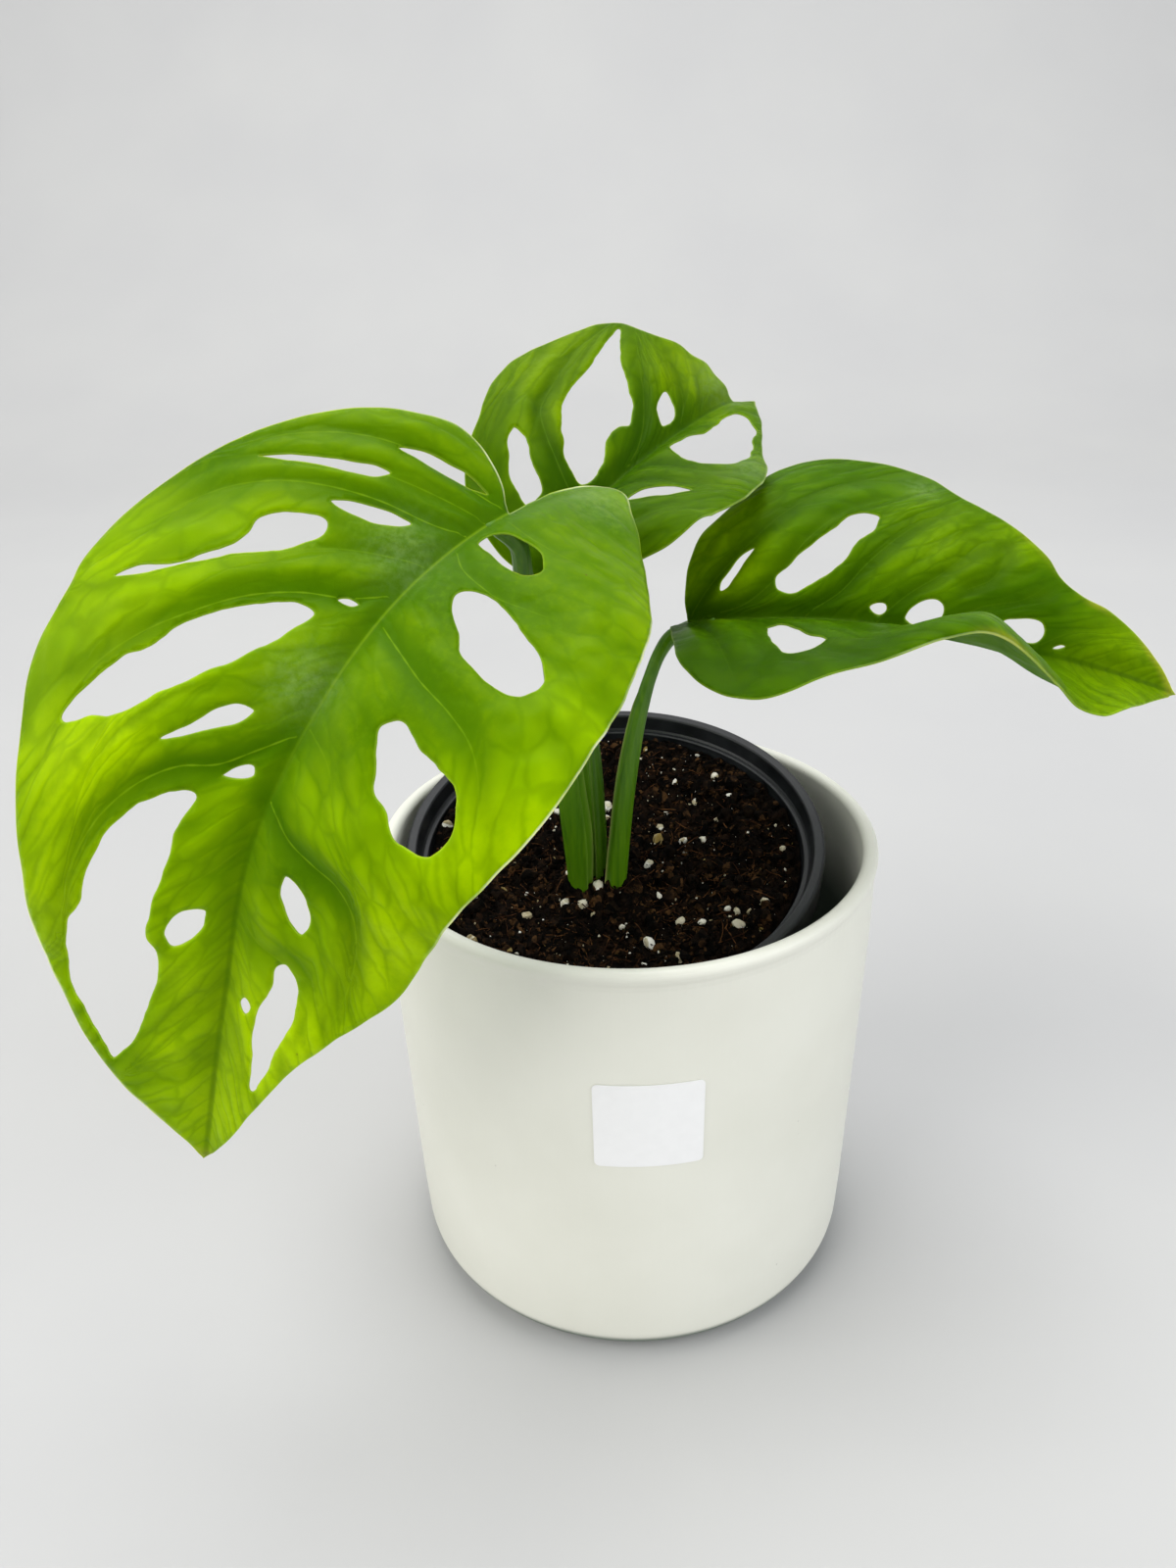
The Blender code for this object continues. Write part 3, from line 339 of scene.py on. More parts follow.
RIGHT_LEAF = dict(
    midrib=[(0, 9, 171), (14.5, 2, 176.5), (27.5, -2.5, 178.5), (49, -9.5, 180), (69.5, -16, 178.5),
            (86.5, -20.5, 176), (104.5, -23, 171.5), (121, -23.5, 165.5)],
    facing=(0.0, -0.65, 0.76),
    reach=15.0,
    bends=[(-10, (20, 0, -20), (40, 35, 20)), (0, (25, 5, -15), (45, 40, 25)),
           (25, (25, 5, -15), (45, 40, 30)), (47, (20, 0, -15), (47, 52, 30)),
           (58, (20, 0, -15), (45, 74, 12)), (66, (18, 0, -15), (36, 82, -9)),
           (73, (16, 0, -15), (8, 74, -11)), (79, (15, 0, -15), (-20, 66, -47)),
           (85, (15, 0, -15), (-20, 46, -62)), (91, (15, 0, -15), (-30, 45, -20)),
           (98, (15, 0, -15), (0, 45, 0)), (106, (15, 0, -15), (15, 0, -10)),
           (120, (15, 0, -15), (15, 0, -10))],
    edges=[[(0, 0), (0, 8), (1, 15), (3, 21), (7, 26.5), (11, 33), (15.5, 41.5), (21, 47), (27, 49.5),
            (36.5, 49.5), (44.5, 47.5), (50.5, 44.5), (55.5, 40.5), (68, 32.5), (74.5, 27.5),
            (79, 23), (81.5, 19), (86.5, 15.5), (93, 13.5), (99, 10.5), (104.5, 6.5), (109, 3),
            (112.5, 0)],
           [(0, 0), (-2.5, -2), (-1, -9), (2, -17), (4.5, -26), (8.5, -33), (13, -37.5), (19.5, -41),
            (25.5, -42), (31, -40.5), (36, -37.5), (41.5, -35.5), (47, -34), (58, -32), (66, -29.5),
            (73, -27), (79, -25), (85, -21.5), (91, -19.5), (96, -15.2), (100.4, -9.6), (104.6, -5.8),
            (109, -2.8), (112.5, 0)]],
    holes=[[(8.4, 6.3), (9.7, 6.8), (11.3, 9.2), (13.1, 12.6), (15.4, 16.6), (12.6, 14.8), (10.2, 11.4),
            (8.2, 8)],
           [(40.4, 27.8), (40.5, 25.5), (38.2, 20), (35, 14.2), (31, 8.7), (27.5, 6.2), (24, 5.3),
            (21.5, 6.2), (20.8, 8.8), (24, 13), (28.2, 18), (32.5, 23), (35.3, 27.2), (38, 28.4)],
           [(22.6, -6.2), (25, -6.9), (27.5, -10), (31, -14.4), (34.7, -18.4), (33.6, -21.6), (32.3, -24.3),
            (29.8, -25.8), (27.2, -25.2), (24.8, -21), (22.6, -15.5), (21.3, -10), (21.3, -7.2)],
           [(41.9, 3.2), (43.4, 4.3), (45.2, 4.3), (45.4, 3), (44.4, 1.9), (42.9, 2.2)],
           [(50, 1.8), (54, 1.5), (57, 2.8), (57.4, 6), (55.6, 7.2), (53, 6.5)],
           [(70.5, 5), (72.5, 2), (75.5, 1.5), (78.4, 2), (79.8, 4), (79.2, 6.3), (74.5, 6.4)],
           [(82.4, 1.5), (83.2, 1.6), (84.8, 2.7), (84.0, 2.7)]],
    veins=[(0.8, [(1, 0.5), (6, 8), (10, 13), (15, 19), (22, 28), (30, 36), (38, 42)]),
           (0.8, [(4, 0.5), (14, 3), (20, 8), (27, 19), (34, 28), (44, 36)]),
           (0.9, [(28, 0.5), (35, 6), (40, 14), (45, 22), (51, 30), (57, 36)]),
           (0.7, [(44, 0.5), (50, 8), (56, 14), (62, 22), (68, 29)]),
           (0.6, [(62, 11), (66.5, 14.5), (68.3, 19), (68.2, 23), (65.5, 25.2), (63, 27)]),
           (0.6, [(58, 0.5), (65, 7), (74, 11), (80, 17)]),
           (0.4, [(78, 0.5), (86, 6), (94, 8)]),
           (0.9, [(1, -0.5), (6, -8), (10, -15), (15, -26), (19, -36)]),
           (0.6, [(0, -0.8), (0.5, -9), (3, -20), (8, -30)]),
           (0.7, [(14, -0.5), (21, -7), (30, -16), (37, -26), (46, -32)]),
           (0.6, [(33, -0.5), (42, -10), (53, -20), (66, -27)]),
           (0.4, [(70, -0.5), (80, -8), (90, -15)])],
    tones=[(52, 28, 11, 0.5), (60, 16, 10, 0.6), (44, 12, 7, 0.4), (74, 27, 9, 0.9),
           (4, 14, 14, 1.0), (12, 6, 9, 0.5), (8, 30, 8, 0.6), (25, 14, 7, 0.4), (104, 3, 14, 1.0),
           (94, -20, 13, 1.0), (88, 0, 8, 0.4), (112, 0, 7, 0.6),
           (24, -6, 10, -0.4), (32, -26, 12, -0.7), (70, 6, 8, -0.5), (78, 12, 8, -0.5), (20, -32, 10, -0.5),
           (46, -8, 8, -0.5), (42, 44, 8, -0.2), (105, 4, 9, 1.0),
           (94, -34, 9, 0.6), (46, -28, 8, -0.6), (26, 52, 7, -0.5), (8, 12, 7, 0.3)],
    painted_sheen=[(62, -12, 8), (70, -20, 7), (48, 40, 4)],
    pale=[(60, -31, 14), (75, -27, 8)],
    dry=[(77, 25, 7), (91, 14, 4), (110, 1, 5), (72, -27, 8), (104, 7, 4)], wave=0.3,
)


# %% Smooth curves
def through(knots, values, at):
    """A smooth curve through the values, carried on straight past both ends."""
    knots = np.asarray(knots, float)
    values = np.asarray(values, float).reshape(len(knots), -1)
    at = np.asarray(at, float)
    slopes = np.gradient(values, knots, axis=0)
    inside = np.clip(at, knots[0], knots[-1])
    i = np.clip(np.searchsorted(knots, inside, side="right") - 1, 0, len(knots) - 2)
    step = (knots[i + 1] - knots[i])[..., None]
    t = (inside - knots[i])[..., None] / step
    a, b = values[i], values[i + 1]
    slope_a, slope_b = slopes[i] * step, slopes[i + 1] * step
    curve = a + t * slope_a + t**2 * (3 * (b - a) - 2 * slope_a - slope_b)
    curve += t**3 * (2 * (a - b) + slope_a + slope_b)
    past = np.where((at < knots[0])[..., None], slopes[0], slopes[-1])
    return curve + (at - inside)[..., None] * past


def lengths(points):
    return np.concatenate([[0.0], np.cumsum(np.linalg.norm(np.diff(points, axis=0), axis=1))])


def unit(vectors):
    return vectors / np.linalg.norm(vectors, axis=-1, keepdims=True)


def ripples(points, *waves):
    """Smooth noise at flat points. Each wave says how fine it is, how strong, and its slice of the noise."""
    return np.array([sum(high * noise.noise((x * fine, y * fine, cut)) for fine, high, cut in waves)
                     for x, y in points])


def resample(points, spacing, closed=False):
    """Evenly spaced points on a smooth curve through the given ones."""
    points = np.array(points, float)
    if closed:
        points = np.concatenate([points[-3:], points, points[:3]])
    knots = lengths(points)
    start, end = (knots[3], knots[-3]) if closed else (knots[0], knots[-1])
    count = max(6, round((end - start) / spacing))
    curve = through(knots, points, np.linspace(start, end, count + 1))
    return curve[:-1] if closed else curve


# %% [markdown]
# The curved surface is a small class: frame(x) walks along the midrib, and at(x, y) walks away from it.
# The same formula made the solids, so the dressed leaf lies where its solid does. The blade's relief is
# what a finger would feel: the midrib and side veins lie in grooves, and the leaf puffs up between them.

# %% The curved blade
class Blade:
    """A curved leaf surface, in millimetres."""

    def __init__(self, leaf):
        self.leaf = leaf
        self.midrib = np.array(leaf["midrib"], float)
        self.facing = unit(np.array(leaf["facing"], float))
        knots = lengths(self.midrib)
        for _ in range(3):
            fine = np.linspace(0.0, knots[-1], 2001)
            knots = np.interp(knots, fine, lengths(through(knots, self.midrib, fine)))
        self.knots = knots - knots[1]

    def frame(self, x):
        """The point of the midrib, and the ways along it, across it and out of its upper face."""
        point = through(self.knots, self.midrib, x)
        along = through(self.knots, self.midrib, x + 0.5) - through(self.knots, self.midrib, x - 0.5)
        along = unit(along)
        out = unit(self.facing - (along @ self.facing)[..., None] * along)
        return point, along, np.cross(out, along), out

    def at(self, x, y, steps=16):
        """Walks across from the midrib, turning as the bends say."""
        x = np.asarray(x, float)
        y = np.asarray(y, float)
        point, _, across, out = self.frame(x)
        stations = [station for station, _, _ in self.leaf["bends"]]
        bends = [plus + minus for _, plus, minus in self.leaf["bends"]]
        bends = through(stations, bends, np.clip(x, stations[0], stations[-1]))
        bends = np.where((y > 0)[..., None], bends[..., :3], bends[..., 3:])
        side = np.sign(y)[..., None]
        for k in range(steps):
            t = np.minimum((k + 0.5) * np.abs(y) / steps / self.leaf["reach"], 2.4)
            turn = bends[..., 0] * (1 - t) * (2 - t) / 2 + bends[..., 1] * t * (2 - t)
            turn = np.radians(turn + bends[..., 2] * t * (t - 1) / 2)[..., None]
            point = point + np.abs(y)[..., None] / steps * (np.cos(turn) * side * across + np.sin(turn) * out)
        return point

    def normal(self, x, y):
        """The way out of the upper face, evened out over the fold at the midrib."""
        total = 0
        for shift in (-1.2, 1.2):
            along = self.at(x + 0.3, y + shift) - self.at(x - 0.3, y + shift)
            across = self.at(x, y + shift + 0.1) - self.at(x, y + shift - 0.1)
            total = total + unit(np.cross(along, across))
        return unit(total)


# %% Cutting out the flat leaf
# Spacings, widths and depths are in millimetres, and a wave says how fine it is, how strong, and its slice.
EDGE_SPACING = 0.5
HOLE_BUMPS = (0.19, 1.0, 5.0), (0.55, 0.2, 2.0)
HOLE_DEPTH = 0.7
MARGIN_WAVE = (0.16, 1.0, 6.0)
RIB_START, RIB_END = 1.0, 2.0
RIB_LINES = (0.0, -0.9, 0.9)
# Shares of the grid's spacing: along lines, and how clear of the edge and of other lines a point stays.
LINE_SHARE = 0.8
CLEAR_OF_EDGE, CLEAR_OF_LINES = 0.45, 0.5
GRID_CLEAR_OF_EDGE, GRID_CLEAR_OF_LINES = 0.55, 0.6


def leaf_length(leaf):
    return leaf["edges"][0][-1][0]


def inside(points, outline):
    """Which points lie inside the closed outline, by counting the edges that they look across."""
    x0, y0 = outline[:, 0], outline[:, 1]
    x1, y1 = np.roll(x0, -1), np.roll(y0, -1)
    found = []
    for part in np.array_split(points, len(points) // 2000 + 1):
        x, y = part[:, 0, None], part[:, 1, None]
        with np.errstate(divide="ignore", invalid="ignore"):
            crossing = ((y0 > y) != (y1 > y)) & (x < (x1 - x0) * (y - y0) / (y1 - y0) + x0)
        found.append(crossing.sum(axis=1) % 2 == 1)
    return np.concatenate(found)


def nearest(points, others):
    """Each point's distance to the nearest of the others, and which one that is."""
    tree = kdtree.KDTree(len(others))
    for i, (x, y) in enumerate(others):
        tree.insert((x, y, 0.0), i)
    tree.balance()
    found = [tree.find((x, y, 0.0)) for x, y in points]
    return np.array([away for _, _, away in found]), [i for _, i, _ in found]


def turning(outline):
    """The next point of each in a ring, and the way across the ring to its right."""
    ahead, behind = np.roll(outline, -1, axis=0), np.roll(outline, 1, axis=0)
    return ahead, unit(np.stack([(ahead - behind)[:, 1], -(ahead - behind)[:, 0]], 1))


def signed_areas(ring, ahead):
    return ring[:, 0] * ahead[:, 1] - ahead[:, 0] * ring[:, 1]


def ragged(hole):
    """A hole's edge with the slight bumps that it grows with, less of them on a small hole."""
    ahead, across = turning(hole)
    width = abs(np.sum(signed_areas(hole, ahead))) / np.linalg.norm(ahead - hole, axis=1).sum()
    bumps = ripples(hole, *HOLE_BUMPS)
    return hole + across * (min(HOLE_DEPTH, 0.2 * width) * bumps)[:, None]


def wavy(outline, depth):
    """The margin with shallow waves, which only ever go inwards."""
    ahead, across = turning(outline)
    inwards = -np.sign(np.sum(signed_areas(outline, ahead))) * across
    waves = 0.5 + ripples(outline, MARGIN_WAVE)
    return outline + inwards * (depth * np.clip(waves, 0, 1))[:, None]


def flat_blade(leaf, spacing):
    """The flat leaf with its holes, as points and triangles that follow the edge and the veins."""
    plus, minus = (resample(edge, EDGE_SPACING) for edge in leaf["edges"])
    outline = wavy(np.concatenate([plus, minus[-2:0:-1]]), leaf["wave"])
    holes = [ragged(resample(hole, EDGE_SPACING, closed=True)) for hole in leaf["holes"]]
    rings = [outline] + holes
    borders = np.concatenate(rings)

    def on_leaf(spots):
        keep = inside(spots, outline)
        for hole in holes:
            keep &= ~inside(spots, hole)
        return keep

    def within(spots, clear):
        return on_leaf(spots) & (nearest(spots, borders)[0] > clear)

    points, edges = [tuple(p) for p in borders], []
    for ring in rings:
        first = len(edges)
        edges += [(first + i, first + (i + 1) % len(ring)) for i in range(len(ring))]

    rib = np.arange(RIB_START, leaf_length(leaf) - RIB_END, spacing * LINE_SHARE)
    lines = [np.stack([rib, 0 * rib + side], 1) for side in RIB_LINES]
    lines += [resample(line, spacing * LINE_SHARE) for _, line in leaf["veins"]]
    placed = np.empty((0, 2))
    for line in lines:
        keep = within(line, spacing * CLEAR_OF_EDGE)
        if len(placed):
            keep &= nearest(line, placed)[0] > spacing * CLEAR_OF_LINES
        for i in np.flatnonzero(keep):
            if i and keep[i - 1]:
                edges.append((len(points) - 1, len(points)))
            points.append(tuple(line[i]))
        placed = np.concatenate([placed, line[keep]])

    rows = np.arange(outline[:, 1].min(), outline[:, 1].max(), spacing * math.sqrt(3) / 2)
    columns = np.arange(outline[:, 0].min(), outline[:, 0].max(), spacing)
    grid = np.array([(x + spacing / 2 * (k % 2), y) for k, y in enumerate(rows) for x in columns])
    keep = within(grid, spacing * GRID_CLEAR_OF_EDGE)
    keep[keep] = nearest(grid[keep], placed)[0] > spacing * GRID_CLEAR_OF_LINES
    points += [tuple(p) for p in grid[keep]]

    made = geometry.delaunay_2d_cdt([Vector(p) for p in points], edges, [], 0, 1e-5)
    flat = np.array([tuple(p) for p in made[0]])
    triangles = np.array([tuple(face) for face in made[2]])
    triangles = triangles[on_leaf(flat[triangles].mean(axis=1))]
    a, b, c = (flat[triangles[:, k]] for k in range(3))
    turn = (b[:, 0] - a[:, 0]) * (c[:, 1] - a[:, 1]) - (b[:, 1] - a[:, 1]) * (c[:, 0] - a[:, 0])
    triangles[turn < 0] = triangles[turn < 0][:, ::-1]
    used = np.unique(triangles)
    flat = flat[used]
    return flat, np.searchsorted(used, triangles), nearest(flat, borders)[0], nearest(flat, outline)[0]


# %% Veins, grooves and thickness
# In millimetres. A groove or a rib is how deep or high it is and how wide.
BLADE_THICKNESS = 0.62
RIM_THICKNESS = 0.3
MIDRIB_GROOVE = (1.0, 3.0)
VEIN_GROOVE = (0.95, 2.4)
SWELL = 0.75
STREAK_EVERY = 7.5
STREAK_GROOVE = 0.16
UNDER_RIB = (1.5, 1.6)
UNDER_VEIN = (0.35, 0.9)
THIN_WITHIN = 1.4
VEIN_STEP = 0.25
WANDER = (0.05, 2.6, 2.0), (0.17, 0.9, 8.0)
RIPPLE = (0.07, 1.0, 3.0), (0.24, 0.45, 9.0)


def bell(distance, width):
    return np.exp(-((distance / width) ** 2))


def vein_fields(leaf, flat):
    """Distance to the nearest side vein, that vein's strength there, and the depth of its groove."""
    lines = [resample(line, VEIN_STEP) for _, line in leaf["veins"]]
    fading = [np.clip(1.3 * (1 - np.arange(len(line)) / len(line)), 0, 1) ** 0.7 for line in lines]
    strengths = np.concatenate([weight * fade for (weight, _), fade in zip(leaf["veins"], fading)])
    distance, which = nearest(flat, np.concatenate(lines))
    strength = strengths[which]
    start = np.clip(np.abs(flat[:, 1]) / 3, 0, 1)
    return distance, strength, strength * start * bell(distance, VEIN_GROOVE[1])


def along_veins(leaf, flat):
    """Where on the midrib a side vein through each point would start, worked out between its neighbours."""
    x, away = flat[:, 0], np.abs(flat[:, 1])
    found = x.copy()
    for side in (-1, 1):
        lines = []
        for _, line in leaf["veins"]:
            line = np.array(line, float)
            if line[1, 1] * side < 0 or abs(line[0, 1]) > 1:
                continue
            line = line[:np.argmax(np.abs(line[:, 1])) + 1]
            out = np.abs(line[:, 1])
            slope = (line[-1, 0] - line[-2, 0]) / (out[-1] - out[-2])
            beyond = np.clip(slope, -1, 2) * np.maximum(away - out[-1], 0)
            lines.append((line[0, 0], np.interp(away, out, line[:, 0]) + beyond))
        lines.sort(key=lambda item: item[0])
        starts = np.array([start for start, _ in lines])
        lines = np.array([line for _, line in lines]) + 0.01 * np.arange(len(lines))[:, None]
        lines = np.maximum.accumulate(lines, axis=0)
        here = np.where(x < lines[0], starts[0] + x - lines[0], starts[-1] + x - lines[-1])
        for k in range(len(lines) - 1):
            between = (x >= lines[k]) & (x < lines[k + 1])
            share = (x - lines[k]) / np.maximum(lines[k + 1] - lines[k], 1e-6)
            here = np.where(between, starts[k] + share * (starts[k + 1] - starts[k]), here)
        found = np.where(flat[:, 1] * side > 0, here, found)
    return found


def patch(places, flat):
    """A soft field of round places that fade out over their radius, each with its strength, or 1."""
    total = np.zeros(len(flat))
    for x, y, radius, amount in [(*place, 1.0)[:4] for place in places]:
        total += amount * np.exp(-((flat[:, 0] - x) ** 2 + (flat[:, 1] - y) ** 2) / radius**2)
    return np.clip(total, -1, 1)


def streaks(leaf, flat):
    """Small veins beside the main ones: soft lines every few millimetres that wander a little."""
    start = along_veins(leaf, flat)
    line = 0.5 + 0.5 * np.cos(math.tau * (start + ripples(flat, *WANDER)) / STREAK_EVERY)
    return start, line**3 * np.clip(np.abs(flat[:, 1]) / 8, 0, 1)


def relief(flat, distance, groove, edge, fine):
    """Height of the upper face over the plain surface: grooves at the veins, soft swells between."""
    away = np.abs(flat[:, 1])
    depth, width = MIDRIB_GROOVE
    sunk = np.maximum(depth * bell(away, width), VEIN_GROOVE[0] * groove)
    swell = np.clip(distance / 6, 0, 1) ** 0.7 * np.clip(away / 6, 0, 1) * np.clip(edge / 5, 0, 1)
    swell = swell * (0.55 + 1.1 * ripples(flat, *RIPPLE))
    return -sunk + SWELL * swell - STREAK_GROOVE * fine * np.clip(edge / 2, 0, 1)


def build_blade(name, leaf, spacing):
    """One closed leaf: upper face, lower face with its ribs, and the thin rim that joins them."""
    flat, triangles, edge, margin = flat_blade(leaf, spacing)
    blade = Blade(leaf)
    surface = blade.at(flat[:, 0], flat[:, 1])
    normal = blade.normal(flat[:, 0], flat[:, 1])
    start, fine = streaks(leaf, flat)
    distance, strength, groove = vein_fields(leaf, flat)
    height = relief(flat, distance, groove, edge, fine)[:, None]
    away, along = np.abs(flat[:, 1]), flat[:, 0] / leaf_length(leaf)
    fullness = np.clip(edge / THIN_WITHIN, 0, 1) ** 0.5
    half = RIM_THICKNESS / 2 + (BLADE_THICKNESS - RIM_THICKNESS) / 2 * fullness
    rib = UNDER_RIB[0] * np.clip(1.05 - along, 0.1, 1) * np.clip((edge + 0.4) / 2, 0, 1)
    rib = rib * bell(away, UNDER_RIB[1])
    rib = rib + UNDER_VEIN[0] * strength * bell(distance, UNDER_VEIN[1]) * np.clip(edge / 2, 0, 1)
    upper = surface + normal * (height + half[:, None])
    lower = surface + normal * (height - (half + rib)[:, None])

    count = len(flat)
    sides = np.concatenate([triangles[:, [0, 1]], triangles[:, [1, 2]], triangles[:, [2, 0]]])
    known = {(int(a), int(b)) for a, b in sides}
    rim = [(a, b) for a, b in known if (b, a) not in known]
    faces = triangles.tolist() + (triangles[:, ::-1] + count).tolist()
    faces += [(b, a, a + count, b + count) for a, b in rim]
    made = add_mesh(name, (np.concatenate([upper, lower]) * MM).tolist(), faces)

    tone = patch(leaf["tones"], flat)
    fields = dict(from_midrib=away, from_vein=distance, vein_strength=strength, from_edge=edge,
                  from_margin=margin, vein_start=start / 10, streak=fine, along=along,
                  lighter=np.maximum(tone, 0), darker=np.maximum(-tone, 0), dry=patch(leaf["dry"], flat),
                  painted_sheen=patch(leaf["painted_sheen"], flat), pale=patch(leaf["pale"], flat))
    for key, values in fields.items():
        add_field(made.data, key, np.concatenate([values, values]))
    add_field(made.data, "underside", np.repeat([0.0, 1.0], count))
    chart = made.data.uv_layers.new(name="flat leaf")
    corners = np.empty(len(made.data.loops), np.int32)
    made.data.loops.foreach_get("vertex_index", corners)
    spread = np.concatenate([flat, flat])[corners] / 200 + 0.5
    chart.data.foreach_set("uv", spread.astype(np.float32).ravel())
    print(name, "has", len(made.data.polygons), "faces")
    return made


# %% [markdown]
# ## The leaf's finish
# A living leaf is a waxy skin over thin green flesh. Three things give its look: a soft shine from the
# wax, light that passes through the sheet and comes out yellow-green, and darker green beside the midrib
# and the veins: painted shade of their grooves, and near the midrib partly the leaf's own deeper green.
# Grey-green patches are a painted sheen, and some lighter and darker patches are painted light and painted
# shade. The blade's own attributes say how far each point is from the midrib, a vein or the edge, so the
# pattern follows the leaf and not the world. The finest net of veins is a Voronoi pattern laid in a vein's
# own direction: across it is the place where a side vein would start, and up it is the distance from the
# midrib, so its cells are long and lean outwards with the veins.

# %% Leaf material
# Painted sheen: the grey-green laid where the wax would shine.
PAINTED_SHEEN = "#93AA72"
UNDERSIDE = "#5F8A36"
THIN_EDGE = "#A9C24C"
WORN_PALE = "#DCE6B8"
WORN_DRY = "#98942E"
SPECK = "#5B4A1C"
# Wear comes in patches.
WORN = ["patches", 0.4, 0.6, 0.3, 1.0]
# The numbers that each blade's mesh carries.
FIELDS = ("from_midrib", "from_vein", "vein_strength", "from_edge", "from_margin", "vein_start", "streak",
          "along", "lighter", "darker", "dry", "painted_sheen", "pale", "underside")


def vein_net(tree, chart, vein_start, from_midrib):
    """The finest net of veins: how far from one, and how far from the middle of a cell."""
    lean = node(tree, "ShaderNodeCombineXYZ", [("X", vein_start), ("Y", from_midrib)])
    lean = node(tree, "ShaderNodeVectorMath", [(0, lean.outputs[0])], [(1, (2.6, 0.16, 1.0))],
                operation="MULTIPLY")
    warp = node(tree, "ShaderNodeTexNoise", [("Vector", chart)], Scale=30.0, Detail=2.0)
    bend = node(tree, "ShaderNodeVectorMath", [(0, warp.outputs["Color"]), (2, lean.outputs[0])],
                [(1, (0.7, 0.7, 0.0))], operation="MULTIPLY_ADD")
    net = node(tree, "ShaderNodeTexVoronoi", [("Vector", bend.outputs[0])], feature="DISTANCE_TO_EDGE",
               Scale=1.0, Randomness=1.0)
    cells = node(tree, "ShaderNodeTexVoronoi", [("Vector", bend.outputs[0])], feature="SMOOTH_F1",
                 Scale=1.0, Randomness=1.0, Smoothness=0.5)
    return net.outputs["Distance"], cells.outputs["Distance"]


